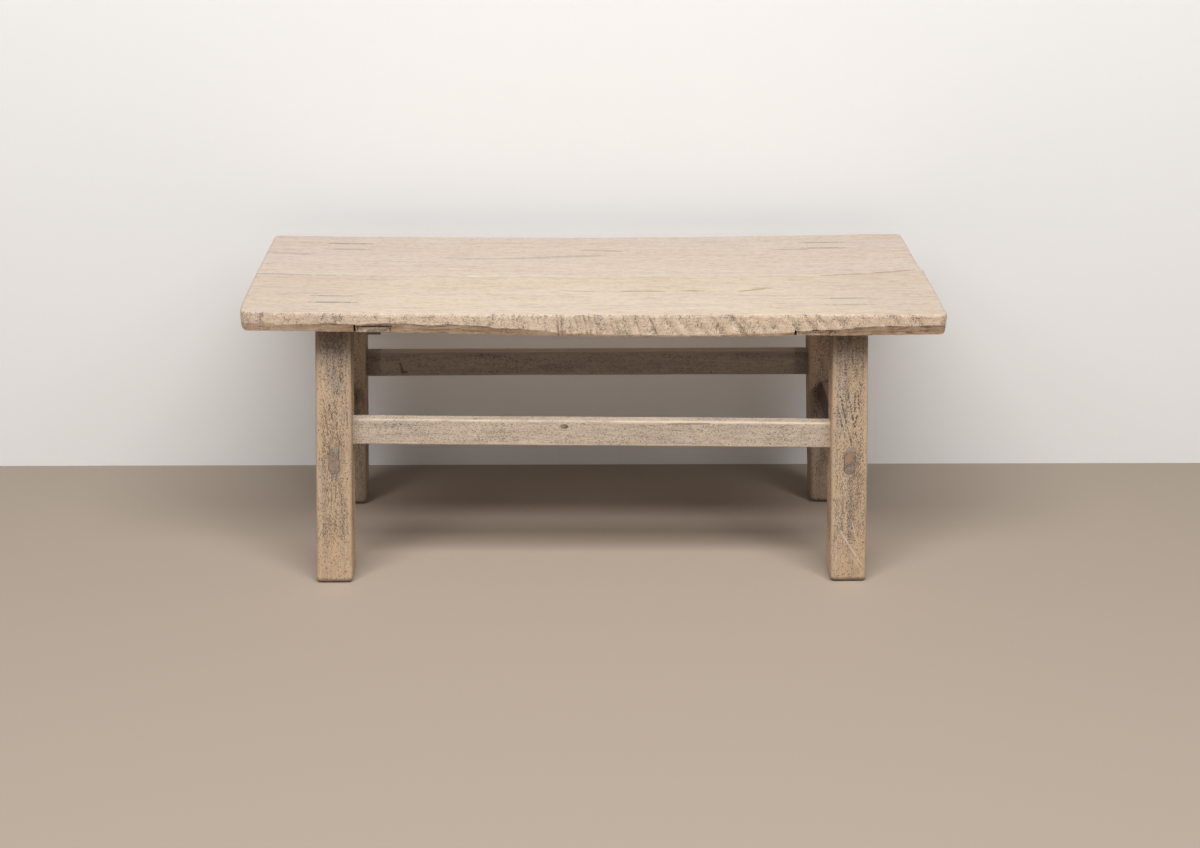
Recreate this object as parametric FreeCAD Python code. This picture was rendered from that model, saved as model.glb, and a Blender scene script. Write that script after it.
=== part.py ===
import FreeCAD, Part
import os
from FreeCAD import Rotation, Vector

# A low elm kang table with a top of two thick boards on four raked legs. Every joint is a real one:
# leg tenons wedged through the top, two dovetailed battens under it, and stretchers tenoned through
# the legs. Millimetres. X runs along the table, +Y points to its back, +Z is up.
# The origin is on the floor under the middle of the top.

# Table top
top_length = 1100
top_depth = 426
table_height = 484
board_thickness = 33
top_sag = 4.5
belly_depth = 4.5
wane_height = 17
wane_inset = 6
top_arris_round = 5
back_arris_round = 4
corner_round = 14
end_round = 5
back_board_short = 4
seam_set_forward = 16

# Battens let into the underside
batten_width = 57
batten_neck_width = 49
batten_taper = 8
batten_let_in = 12
batten_proud = 4
batten_end_inset = 6
batten_left_inside_legs = 64
batten_right_inside_legs = 62

# Legs. Their places are kept at the top's surface, in from its ends and edges, and the feet are
# spread further out from there.
leg_from_end = 142
leg_from_edge = 71
foot_spread_along = 23
foot_spread_across = 11.5
leg_top_width = 56
leg_top_depth = 58
leg_foot_width = 60
leg_foot_depth = 60
leg_arris_round = 3.5
foot_chamfer = 5

# Tenons through the top, and the wedges that spread them
leg_tenon_width = 54
leg_tenon_thickness = 30
wedge_tip = 1
wedge_head = 6
wedge_tip_rise = 3

# Stretchers. Tenon spacing is the wood kept in a leg between an end stretcher's tenon and the
# lowest tenon above it.
stretcher_thickness = 20
long_stretcher_height = 45
end_stretcher_height = 42
front_stretcher_left_height = 261
front_stretcher_right_height = 255.5
back_stretcher_height = 266.5
tenon_spacing = 8.5
long_arris_round = 2
end_arris_round = 4
long_tenon_height = 28
long_tenon_thickness = 16
long_tenon_rise = 3
end_tenon_height = 40
end_tenon_thickness = 18

# Bamboo pins along the seam
pin_radius = 3
pin_length = 50

# Clearances, and how far a cut or a trimmed end runs past the face it has to reach
mortise_clearance = 0.15
pin_clearance = 0.05
pin_hole_extra = 1
batten_clearance = 0.1
cut_overrun = 30
corner_overrun = 2

# How the hand-worked top changes along its length. The stations are shares of half its length, and
# each other list has one share per station, of the size that its name gives.
station_shares = [-1, -0.72, -0.36, 0, 0.3, 0.72, 1]
front_edge_of_half_depth_shares = [0.923, 0.926, 0.932, 0.939, 0.946, 0.969, 1]
back_edge_of_half_depth_shares = [0.939, 0.943, 0.944, 0.945, 0.96, 0.985, 1]
belly_shares = [0.2, 0, 0.36, 0.73, 0.85, 0.78, 0.55]
wane_shares = [0.8, 0.85, 0.95, 0.2, 0.14, 0.7, 1]

# The seam between the boards, as shares of half the length and of its set towards the front.
seam_length_shares = [-1, -0.8, -0.4, 0, 0.4, 0.68, 0.8, 0.9, 1]
seam_forward_shares = [0.62, 0.97, 1.02, 1.03, 1, 0.95, 0.6, -0.1, -0.56]

# Where each leg stands, as shares of the leg's places at the top and at the floor.
leg_shares = {
    "leg_front_left": {"top_shares": (-1.007, -0.93), "foot_shares": (-0.993, -0.99)},
    "leg_front_right": {"top_shares": (0.995, -1.021), "foot_shares": (0.993, -1.003)},
    "leg_back_left": {"top_shares": (-1.012, 0.993), "foot_shares": (-1.005, 0.997)},
    "leg_back_right": {"top_shares": (0.985, 1.049), "foot_shares": (1.007, 1.01)},
}
pin_place_shares = [-0.87, -0.3, 0.3, 0.87]

half_length = top_length / 2
half_depth = top_depth / 2
leg_rise = table_height
leg_top_x = half_length - leg_from_end
leg_top_y = half_depth - leg_from_edge
leg_foot_x = leg_top_x + foot_spread_along
leg_foot_y = leg_top_y + foot_spread_across
lowest_stretcher = min(front_stretcher_left_height, front_stretcher_right_height, back_stretcher_height)
end_stretcher_place = (lowest_stretcher + long_tenon_rise - long_tenon_height / 2
                       - tenon_spacing - end_tenon_height / 2)


# The top as one blank, before its seam is cut

def sag_at(x):
    """How far the top has sunk at this place along it."""
    return top_sag * (1 - (x / half_length) ** 2)


def underside_at(x):
    return table_height - sag_at(x) - board_thickness


def share_between(shares, x):
    """The value of a station list at any place along the top, by straight lines."""
    place = x / half_length
    pairs = list(zip(station_shares, shares))
    for (low, low_share), (high, high_share) in zip(pairs, pairs[1:]):
        if place <= high:
            return low_share + (high_share - low_share) * (place - low) / (high - low)
    return shares[-1]


def round_edge(start, corner, end):
    """A worn corner between two points, pulled most of the way to the sharp corner."""
    middle = (start + end) / 4 + corner / 2
    return Part.Arc(start, middle, end).toShape()


def line(start, end):
    return Part.LineSegment(start, end).toShape()


def top_section(station, front_share, back_share, belly_share, wane_share):
    """One cross-section of the top: worn arrises, a full face and the wane under it."""
    x = station * half_length
    top = table_height - sag_at(x)
    front = -front_share * half_depth
    back = back_share * half_depth
    low_front = underside_at(x) - belly_share * belly_depth
    low_back = underside_at(x)
    wane_top = low_front + wane_share * wane_height
    wane_back = front + wane_share * wane_inset
    front_top = [Vector(x, front + top_arris_round, top), Vector(x, front, top),
                 Vector(x, front, top - top_arris_round)]
    wane = [Vector(x, front, wane_top), Vector(x, wane_back, low_front)]
    back_low = [Vector(x, back - back_arris_round, low_back), Vector(x, back, low_back),
                Vector(x, back, low_back + back_arris_round)]
    back_top = [Vector(x, back, top - back_arris_round), Vector(x, back, top),
                Vector(x, back - back_arris_round, top)]
    edges = [round_edge(*front_top), line(front_top[2], wane[0]), line(wane[0], wane[1]),
             line(wane[1], back_low[0]), round_edge(*back_low), line(back_low[2], back_top[0]),
             round_edge(*back_top), line(back_top[2], front_top[0])]
    return Part.Wire(edges)


def make_top_blank():
    stations = zip(station_shares, front_edge_of_half_depth_shares, back_edge_of_half_depth_shares,
                   belly_shares, wane_shares)
    return Part.makeLoft([top_section(*station) for station in stations], True, False)


def plan_prism(right_end):
    """The top seen from above: square ends with worn corners, clear of the long edges between."""
    left_end = -half_length
    corners = [(left_end, -front_edge_of_half_depth_shares[0] * half_depth, 1, 1),
               (right_end, -front_edge_of_half_depth_shares[-1] * half_depth, -1, 1),
               (right_end, back_edge_of_half_depth_shares[-1] * half_depth, -1, -1),
               (left_end, back_edge_of_half_depth_shares[0] * half_depth, 1, -1)]
    low = table_height - cut_overrun * 2
    arcs = []
    for x, y, inward_x, inward_y in corners:
        on_end = Vector(x, y + inward_y * corner_round, low)
        on_edge = Vector(x + inward_x * corner_round, y - inward_y * corner_overrun, low)
        arcs.append((on_end, Vector(x, y, low), on_edge))
    edges = []
    for index, (on_end, corner, on_edge) in enumerate(arcs):
        going_out = index % 2 == 1
        first, last = (on_edge, on_end) if going_out else (on_end, on_edge)
        edges.append(round_edge(first, corner, last))
        next_end, next_corner, next_edge = arcs[(index + 1) % len(arcs)]
        target = next_end if going_out else next_edge
        edges.append(line(last, target))
    return Part.Face(Part.Wire(edges)).extrude(Vector(0, 0, cut_overrun * 3))


def end_prism(right_end):
    """The top seen from the front: its ends rounded over above and below."""
    top = table_height
    low = table_height - board_thickness
    y = -half_depth - cut_overrun
    reach = end_round + corner_overrun
    spare = cut_overrun
    left_low = [Vector(-half_length + reach, y, low - corner_overrun), Vector(-half_length, y, low),
                Vector(-half_length, y, low + end_round)]
    left_top = [Vector(-half_length, y, top - end_round), Vector(-half_length, y, top),
                Vector(-half_length + reach, y, top + corner_overrun)]
    right_top = [Vector(right_end - reach, y, top + corner_overrun), Vector(right_end, y, top),
                 Vector(right_end, y, top - end_round)]
    right_low = [Vector(right_end, y, low + end_round), Vector(right_end, y, low),
                 Vector(right_end - reach, y, low - corner_overrun)]
    below_left = left_low[0] - Vector(0, 0, spare)
    below_right = right_low[2] - Vector(0, 0, spare)
    edges = [round_edge(*left_low), line(left_low[2], left_top[0]), round_edge(*left_top),
             line(left_top[2], right_top[0]), round_edge(*right_top),
             line(right_top[2], right_low[0]), round_edge(*right_low),
             line(right_low[2], below_right), line(below_right, below_left),
             line(below_left, left_low[0])]
    return Part.Face(Part.Wire(edges)).extrude(Vector(0, top_depth + cut_overrun * 2, 0))


def seam_points(z):
    places = zip(seam_length_shares, seam_forward_shares)
    return [Vector(along * half_length, -forward * seam_set_forward, z) for along, forward in places]


def seam_y_at(x):
    """Where the seam lies across the top, by straight lines between its points."""
    points = seam_points(0)
    for low, high in zip(points, points[1:]):
        if x <= high.x:
            return low.y + (high.y - low.y) * (x - low.x) / (high.x - low.x)
    return points[-1].y


def front_of_seam():
    """Everything on the front side of the seam, as a block for cutting the blank in two."""
    low = table_height - cut_overrun * 2
    points = seam_points(low)
    left_out = points[0] - Vector(cut_overrun, 0, 0)
    right_out = points[-1] + Vector(cut_overrun, 0, 0)
    front = -half_depth - cut_overrun
    curve = Part.BSplineCurve()
    curve.interpolate(points)
    edges = [line(left_out, points[0]), curve.toShape(), line(points[-1], right_out),
             line(right_out, Vector(right_out.x, front, low)),
             line(Vector(right_out.x, front, low), Vector(left_out.x, front, low)),
             line(Vector(left_out.x, front, low), left_out)]
    return Part.Face(Part.Wire(edges)).extrude(Vector(0, 0, cut_overrun * 3))


# Legs, as level rectangles along a leaning axis

def leg_axis(name, z):
    """The middle of the leg at this height: straight from its foot to the top's surface."""
    shares = leg_shares[name]
    part_up = z / leg_rise
    foot = Vector(shares["foot_shares"][0] * leg_foot_x, shares["foot_shares"][1] * leg_foot_y, 0)
    head = Vector(shares["top_shares"][0] * leg_top_x, shares["top_shares"][1] * leg_top_y, leg_rise)
    return foot + (head - foot) * part_up


def rounded_rectangle(middle, width, depth, radius):
    x, y = width / 2, depth / 2
    wire = Part.makePolygon([middle + Vector(-x, -y, 0), middle + Vector(x, -y, 0),
                             middle + Vector(x, y, 0), middle + Vector(-x, y, 0),
                             middle + Vector(-x, -y, 0)])
    if radius == 0:
        return wire
    edges = []
    for sx, sy in ((-1, -1), (1, -1), (1, 1), (-1, 1)):
        corner = middle + Vector(sx * x, sy * y, 0)
        along_x = corner - Vector(sx * radius, 0, 0)
        along_y = corner - Vector(0, sy * radius, 0)
        centre = corner - Vector(sx * radius, sy * radius, 0)
        bulge = centre + (corner - centre).normalize() * radius
        first, last = (along_y, along_x) if sx * sy > 0 else (along_x, along_y)
        edges.append((first, bulge, last))
    outline = []
    for (first, bulge, last), following in zip(edges, edges[1:] + edges[:1]):
        outline.append(Part.Arc(first, bulge, last).toShape())
        outline.append(line(last, following[0]))
    return Part.Wire(outline)


def leg_size_at(z):
    part_up = z / leg_rise
    width = leg_foot_width + (leg_top_width - leg_foot_width) * part_up
    depth = leg_foot_depth + (leg_top_depth - leg_foot_depth) * part_up
    return width, depth


def make_shaft(name):
    """The leg below the top, tapering a little upwards, with its foot's edges chamfered."""
    inside_board = table_height - board_thickness / 2
    wires = []
    for z, trim in ((0, foot_chamfer), (foot_chamfer, 0), (inside_board, 0)):
        width, depth = leg_size_at(z)
        wires.append(rounded_rectangle(leg_axis(name, z), width - trim * 2, depth - trim * 2,
                                       leg_arris_round))
    lower = Part.makeLoft(wires[:2], True, True)
    upper = Part.makeLoft(wires[1:], True, True)
    return lower.fuse(upper).removeSplitter()


def tapered_block(name, low, high, low_size, high_size, low_shift, high_shift):
    """A block whose level ends follow a leg's axis, each shifted sideways along X."""
    wires = []
    for z, size, shift in ((low, low_size, low_shift), (high, high_size, high_shift)):
        middle = leg_axis(name, z) + Vector(shift, 0, 0)
        wires.append(rounded_rectangle(middle, size[0], size[1], 0))
    return Part.makeLoft(wires, True, True)


def wedge_thickness_at(name, z):
    """A wedge's thickness at this height: its tip near the underside, its head at the surface."""
    x = leg_axis(name, table_height).x
    tip_level = underside_at(x) + wedge_tip_rise
    head_level = table_height - sag_at(x)
    return wedge_tip + (wedge_head - wedge_tip) * (z - tip_level) / (head_level - tip_level)


def make_tenon(name, extra):
    """The leg's tenon, from inside its shaft to above the top, wider all round by extra."""
    low = table_height - board_thickness * 1.5
    high = table_height + board_thickness / 2
    size = (leg_tenon_width + extra * 2, leg_tenon_thickness + extra * 2)
    return tapered_block(name, low, high, size, size, 0, 0)


def make_wedge_blank(name, side):
    """A wedge beside the tenon's end, running on above the surface where it is trimmed."""
    low = underside_at(leg_axis(name, table_height).x) + wedge_tip_rise
    high = table_height + board_thickness / 2
    low_size = wedge_thickness_at(name, low)
    high_size = wedge_thickness_at(name, high)
    low_shift = side * (leg_tenon_width + low_size) / 2
    high_shift = side * (leg_tenon_width + high_size) / 2
    return tapered_block(name, low, high, (low_size, leg_tenon_thickness),
                         (high_size, leg_tenon_thickness), low_shift, high_shift)


# Bars between two legs

def make_bar(start, end, thickness, height, arris_round, overrun):
    """A straight bar with its middle line from start to end, and overrun past both."""
    along = (end - start).normalize()
    length = (end - start).Length + overrun * 2
    bar = Part.makeBox(length, thickness, height, Vector(-overrun, -thickness / 2, -height / 2))
    if arris_round > 0:
        long_edges = [edge for edge in bar.Edges if abs(edge.Length - length) < arris_round]
        bar = bar.makeFillet(arris_round, long_edges)
    bar.Placement = FreeCAD.Placement(start, Rotation(along, Vector(), Vector(0, 0, 1), "XZY"))
    return bar


def make_stretcher(run, shafts):
    """A stretcher with a tenon through the leg at each end, flush with the leg's outer face."""
    start = leg_axis(run["legs"][0], run["heights"][0])
    end = leg_axis(run["legs"][1], run["heights"][1])
    bar = make_bar(start, end, stretcher_thickness, run["height"], run["arris_round"], 0)
    tenon = make_run_tenon(run, 0)
    ends = [shafts[leg] for leg in run["legs"]]
    return bar.cut(ends).fuse([tenon.common(shaft) for shaft in ends]).removeSplitter()


def make_run_tenon(run, extra):
    """The bar that a run's two tenons are cut from, wider all round by extra for the mortises."""
    rise = Vector(0, 0, run["tenon_rise"])
    start = leg_axis(run["legs"][0], run["heights"][0]) + rise
    end = leg_axis(run["legs"][1], run["heights"][1]) + rise
    return make_bar(start, end, run["tenon_thickness"] + extra * 2, run["tenon_height"] + extra * 2,
                    0, leg_foot_width)


def stretcher_run(first_leg, last_leg, heights, long_one):
    """What one stretcher joins, where, and the section of its bar and of its tenons."""
    if long_one:
        return {"legs": (first_leg, last_leg), "heights": heights, "height": long_stretcher_height,
                "arris_round": long_arris_round, "tenon_height": long_tenon_height,
                "tenon_thickness": long_tenon_thickness, "tenon_rise": long_tenon_rise}
    return {"legs": (first_leg, last_leg), "heights": heights, "height": end_stretcher_height,
            "arris_round": end_arris_round, "tenon_height": end_tenon_height,
            "tenon_thickness": end_tenon_thickness, "tenon_rise": 0}


# Battens and pins

def batten_outline(place, y, extra):
    """The batten's dovetail where it crosses this line; it narrows by its taper towards the back."""
    narrowing = batten_taper * (y + half_depth) / top_depth
    wide = (batten_width - narrowing) / 2 + extra
    narrow = (batten_neck_width - narrowing) / 2 + extra
    neck = underside_at(place)
    top = neck + batten_let_in + extra
    low = neck - batten_proud
    points = [Vector(place - wide, y, top), Vector(place + wide, y, top),
              Vector(place + narrow, y, neck), Vector(place + narrow, y, low),
              Vector(place - narrow, y, low), Vector(place - narrow, y, neck),
              Vector(place - wide, y, top)]
    return Part.makePolygon(points)


def make_batten(place):
    """A dovetailed bar across both boards, stopped a little inside each long edge."""
    front = -share_between(front_edge_of_half_depth_shares, place) * half_depth + batten_end_inset
    back = share_between(back_edge_of_half_depth_shares, place) * half_depth - batten_end_inset
    return Part.makeLoft([batten_outline(place, front, 0), batten_outline(place, back, 0)], True, True)


def make_batten_housing(place):
    """The batten's groove, open at both edges of the top so that the batten can be driven in."""
    reach = half_depth + cut_overrun
    return Part.makeLoft([batten_outline(place, -reach, batten_clearance),
                          batten_outline(place, reach, batten_clearance)], True, True)


def make_pin(share, extra_radius, extra_length):
    """A pin across the seam, at mid thickness of the boards."""
    x = share * half_length
    length = pin_length + extra_length * 2
    start = Vector(x, seam_y_at(x) - length / 2, (underside_at(x) + table_height - sag_at(x)) / 2)
    return Part.makeCylinder(pin_radius + extra_radius, length, start, Vector(0, 1, 0))


def main():
    os.makedirs("parts", exist_ok=True)
    top_blank = make_top_blank()
    front_side = front_of_seam()
    shafts = {name: make_shaft(name).cut(top_blank) for name in leg_shares}

    parts = {}
    for name in leg_shares:
        corner = name.replace("leg_", "")
        for side in (-1, 1):
            position = "outer" if side * leg_shares[name]["top_shares"][0] > 0 else "inner"
            parts["wedge_" + corner + "_" + position] = make_wedge_blank(name, side).common(top_blank)

    runs = {
        "stretcher_front": stretcher_run("leg_front_left", "leg_front_right",
                                         (front_stretcher_left_height,
                                          front_stretcher_right_height), True),
        "stretcher_back": stretcher_run("leg_back_left", "leg_back_right",
                                        (back_stretcher_height, back_stretcher_height), True),
        "stretcher_left": stretcher_run("leg_front_left", "leg_back_left",
                                        (end_stretcher_place, end_stretcher_place), False),
        "stretcher_right": stretcher_run("leg_front_right", "leg_back_right",
                                         (end_stretcher_place, end_stretcher_place), False),
    }
    for name, run in runs.items():
        parts[name] = make_stretcher(run, shafts)

    for name in leg_shares:
        leg = shafts[name].fuse(make_tenon(name, 0).common(top_blank)).removeSplitter()
        mortises = [make_run_tenon(run, mortise_clearance) for run in runs.values()
                    if name in run["legs"]]
        parts[name] = leg.cut(mortises)

    battens = {"batten_left": batten_left_inside_legs - leg_top_x,
               "batten_right": leg_top_x - batten_right_inside_legs}
    for name, place in battens.items():
        parts[name] = make_batten(place)
    parts["seam_pins"] = Part.makeCompound([make_pin(share, 0, 0) for share in pin_place_shares])

    holes = [make_batten_housing(place) for place in battens.values()]
    holes += [make_pin(share, pin_clearance, pin_hole_extra) for share in pin_place_shares]
    holes += [make_tenon(name, mortise_clearance) for name in leg_shares]
    holes += [make_wedge_blank(name, side) for name in leg_shares for side in (-1, 1)]
    boards = {
        "top_front_board": (top_blank.common(front_side), half_length),
        "top_back_board": (top_blank.cut(front_side), half_length - back_board_short),
    }
    for name, (board, right_end) in boards.items():
        shaped = board.common(plan_prism(right_end)).common(end_prism(right_end))
        parts[name] = shaped.cut(holes)

    for name, shape in parts.items():
        solids = shape.Solids
        result = solids[0] if len(solids) == 1 else Part.makeCompound(solids)
        box = result.optimalBoundingBox()
        print(name, len(solids), "solid", "valid" if result.isValid() else "NOT VALID",
              [round(value, 1) for value in (box.XMin, box.XMax, box.YMin, box.YMax, box.ZMin, box.ZMax)])
        result.exportStep("parts/" + name + ".step")


main()
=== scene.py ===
# %% [markdown]
# # A low elm kang table, dressed
# The construction model already holds every joint of this table at its true size. Here each timber
# gets the surface that years of use gave it. The finished model stays inside the construction
# model's box, and nothing is moved: every piece is made where its solid already is.

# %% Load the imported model
import math

import bmesh
import bpy
import numpy as np
from mathutils import Matrix, Vector


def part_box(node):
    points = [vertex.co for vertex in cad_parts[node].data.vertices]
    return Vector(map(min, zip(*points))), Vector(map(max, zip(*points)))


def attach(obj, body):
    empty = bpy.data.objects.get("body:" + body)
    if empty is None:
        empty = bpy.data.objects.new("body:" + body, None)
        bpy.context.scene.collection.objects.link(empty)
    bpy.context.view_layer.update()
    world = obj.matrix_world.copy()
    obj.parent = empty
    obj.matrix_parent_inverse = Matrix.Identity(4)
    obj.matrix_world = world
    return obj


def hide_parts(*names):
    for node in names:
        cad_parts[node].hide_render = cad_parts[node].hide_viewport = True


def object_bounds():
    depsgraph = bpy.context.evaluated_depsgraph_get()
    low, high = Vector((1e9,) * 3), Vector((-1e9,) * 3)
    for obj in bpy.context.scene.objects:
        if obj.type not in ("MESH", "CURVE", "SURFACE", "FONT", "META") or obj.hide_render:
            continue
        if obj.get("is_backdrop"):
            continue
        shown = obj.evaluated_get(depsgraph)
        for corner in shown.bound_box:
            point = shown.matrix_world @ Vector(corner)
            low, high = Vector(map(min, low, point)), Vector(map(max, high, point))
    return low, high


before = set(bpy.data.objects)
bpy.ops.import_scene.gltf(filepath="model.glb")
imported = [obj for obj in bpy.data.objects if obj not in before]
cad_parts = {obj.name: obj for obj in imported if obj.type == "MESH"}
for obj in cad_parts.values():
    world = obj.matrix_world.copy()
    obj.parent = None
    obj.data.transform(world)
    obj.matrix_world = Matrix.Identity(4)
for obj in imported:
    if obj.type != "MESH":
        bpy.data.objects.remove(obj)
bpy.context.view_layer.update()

# %% [markdown]
# ## The camera
# A product photograph of low furniture is usually taken from a standing height, looking down a
# little. A moderate lens keeps the top's two long edges nearly parallel. The camera is built from
# its three turns, because the table's feet and corners fix them to a fraction of a degree.

# %% Place the camera
pitch, yaw, roll = 0.401693, -0.025141, 0.0076936
sideways = Vector((1, 0, 0))
upwards = Vector((0, math.sin(pitch), math.cos(pitch)))
ahead = Vector((0, math.cos(pitch), -math.sin(pitch)))
turn = Matrix.Rotation(yaw, 3, "Z")
sideways, upwards, ahead = turn @ sideways, turn @ upwards, turn @ ahead
level_right = sideways * math.cos(roll) + upwards * math.sin(roll)
level_up = upwards * math.cos(roll) - sideways * math.sin(roll)


def put(name, data):
    """Adds an object to the scene."""
    thing = bpy.data.objects.new(name, data)
    bpy.context.scene.collection.objects.link(thing)
    return thing


lens = bpy.data.cameras.new("camera")
lens.sensor_width = 36
lens.lens = 57
camera = put("camera", lens)
camera.matrix_world = Matrix.Translation((-0.05963, -2.99246, 1.48106)) @ Matrix(
    (level_right, level_up, -ahead)).transposed().to_4x4()
bpy.context.scene.camera = camera
print("camera height", round(camera.location.z, 3))

# %% [markdown]
# ## Measuring the solids
# Every timber is rebuilt as a fine skin over its solid, so its sizes are read from the solid itself.
# A flat cut through the loose triangles of a node gives the timber's section at that place.

# %% Cut a node to measure it
def coordinates(mesh, kind="co"):
    """One row for each point of a mesh: its place, or its normal."""
    values = np.empty(len(mesh.vertices) * 3)
    mesh.vertices.foreach_get(kind, values)
    return values.reshape(-1, 3)


def cut_box(node, axis, at):
    """The lowest and highest corner of a flat cut through one construction node."""
    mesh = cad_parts[node].data
    ends = np.empty(len(mesh.edges) * 2, dtype=np.int32)
    mesh.edges.foreach_get("vertices", ends)
    first, last = coordinates(mesh)[ends.reshape(-1, 2)].transpose(1, 0, 2)
    crossing = (first[:, axis] - at) * (last[:, axis] - at) < 0
    first, last = first[crossing], last[crossing]
    share = (at - first[:, axis]) / (last[:, axis] - first[:, axis])
    hits = first + (last - first) * share[:, None]
    return np.array([hits.min(0), hits.max(0)])


class Post:
    """A timber's middle line and half sizes between two cuts across it."""

    def __init__(self, node, axis, low_at, high_at):
        (a, b), (c, d) = cut_box(node, axis, low_at), cut_box(node, axis, high_at)
        self.at = (low_at, high_at)
        self.middles = ((a + b) / 2, (c + d) / 2)
        self.halves = ((b - a) / 2, (d - c) / 2)

    def share(self, at):
        return ((np.asarray(at, float) - self.at[0]) / (self.at[1] - self.at[0]))[..., None]

    def middle(self, at):
        return self.middles[0] + (self.middles[1] - self.middles[0]) * self.share(at)

    def half(self, at):
        return self.halves[0] + (self.halves[1] - self.halves[0]) * self.share(at)


corners = ("front_left", "front_right", "back_left", "back_right")
shafts = {corner: Post("leg_" + corner, 2, 0.02, 0.435) for corner in corners}
tenons = {corner: Post("leg_" + corner, 2, 0.463, 0.476) for corner in corners}
tenon_top = 0.482
for corner in corners:
    print(corner, "leg stands at", np.round(shafts[corner].middle(0.0)[:2], 4),
          "and is", np.round(2000 * shafts[corner].half(0.3)[:2], 1), "mm thick")

# %% [markdown]
# ## A bench for laying out nodes
# Wood needs long sums of noises, and a node editor shows them as a web. In a script the same web is
# easier to read as sums, so one small class adds a node, links what it is given and returns the
# result. It serves the geometry trees and the finishes alike.

# %% The node bench
class Bench:
    """Adds nodes to one tree, links what they are given and returns their results."""

    def __init__(self, tree):
        self.tree = tree

    def feed(self, socket, value):
        if isinstance(value, bpy.types.NodeSocket):
            self.tree.links.new(value, socket)
        else:
            socket.default_value = value

    def add(self, kind, inputs=(), **settings):
        node = self.tree.nodes.new(kind)
        for name, value in settings.items():
            setattr(node, name, value)
        for name, value in dict(inputs).items():
            self.feed(node.inputs[name], value)
        return node

    def math(self, operation, a, b=0.0):
        return self.add("ShaderNodeMath", {0: a, 1: b}, operation=operation).outputs[0]

    def plus(self, a, b):
        return self.math("ADD", a, b)

    def minus(self, a, b):
        return self.math("SUBTRACT", a, b)

    def times(self, a, b):
        return self.math("MULTIPLY", a, b)

    def over(self, a, b):
        return self.math("DIVIDE", a, b)

    def total(self, *parts):
        """A sum; each part is a value, or a value and its weight."""
        parts = [self.times(*part) if isinstance(part, tuple) else part for part in parts]
        result = parts[0]
        for part in parts[1:]:
            result = self.plus(result, part)
        return result

    def vector(self, operation, a, b=(0, 0, 0)):
        node = self.add("ShaderNodeVectorMath", {0: a, 1: b}, operation=operation)
        return node.outputs[1 if operation in ("LENGTH", "DOT_PRODUCT", "DISTANCE") else 0]

    def scaled(self, vector, scale):
        """A vector times a factor for each axis."""
        return self.vector("MULTIPLY", vector, scale)

    def stretched(self, vector, factor):
        """A vector times one factor."""
        return self.add("ShaderNodeVectorMath", {0: vector, 3: factor}, operation="SCALE").outputs[0]

    def joined(self, x=0.0, y=0.0, z=0.0):
        return self.add("ShaderNodeCombineXYZ", {0: x, 1: y, 2: z}).outputs[0]

    def parts(self, vector):
        return self.add("ShaderNodeSeparateXYZ", {0: vector}).outputs

    def noise(self, vector, detail=2.0, rough=0.5, scale=1.0):
        return self.add("ShaderNodeTexNoise", {"Vector": vector, "Scale": scale, "Detail": detail,
                                               "Roughness": rough}).outputs[0]

    def drift(self, vector, scale, detail):
        """A vector that wanders from place to place, and is zero on average."""
        noise = self.add("ShaderNodeTexNoise", {"Vector": vector, "Scale": scale, "Detail": detail})
        return self.vector("SUBTRACT", noise.outputs[1], (0.5, 0.5, 0.5))

    def ramp(self, value, low, high, to_low=0.0, to_high=1.0):
        return self.add("ShaderNodeMapRange", {"Value": value, 1: low, 2: high, 3: to_low, 4: to_high},
                        interpolation_type="SMOOTHSTEP").outputs[0]

    def mix(self, share, a, b, blend="MIX"):
        node = self.add("ShaderNodeMix", data_type="RGBA", blend_type=blend)
        for index, value in ((0, share), (6, a), (7, b)):
            self.feed(node.inputs[index], value)
        return node.outputs[2]

    def stored(self, name, kind="FLOAT"):
        """What an earlier step wrote on each point."""
        return self.add("GeometryNodeInputNamedAttribute", {"Name": name}, data_type=kind).outputs[0]

    def store(self, geometry, name, value):
        return self.add("GeometryNodeStoreNamedAttribute",
                        {"Geometry": geometry, "Name": name, "Value": value},
                        data_type="FLOAT", domain="POINT").outputs[0]

    def deliver(self, geometry, finish, out):
        """Ends a geometry tree with real geometry in its finish."""
        solid = self.add("GeometryNodeRealizeInstances", {"Geometry": geometry})
        painted = self.add("GeometryNodeSetMaterial", {"Geometry": solid.outputs[0], "Material": finish})
        self.feed(out["Geometry"], painted.outputs[0])
        return self.tree


def new_tree(name, kind, inputs, outputs):
    """A node group with its named inputs, their starting values, and its outputs."""
    tree = bpy.data.node_groups.new(name, kind)
    for label, socket, value in inputs:
        made = tree.interface.new_socket(label, in_out="INPUT", socket_type="NodeSocket" + socket)
        if value is not None:
            made.default_value = value
    for label, socket in outputs:
        tree.interface.new_socket(label, in_out="OUTPUT", socket_type="NodeSocket" + socket)
    bench = Bench(tree)
    return bench, bench.add("NodeGroupInput").outputs, bench.add("NodeGroupOutput").inputs


# %% [markdown]
# ## Skinning a timber
# A timber is a row of rings along its grain. Rings allow a taper, a lean, a shoulder and a tenon in
# one closed skin, and they keep the faces even, which a worn surface needs. Each end is closed by
# smaller and smaller rings, so that the end grain can be worn as well.

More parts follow.
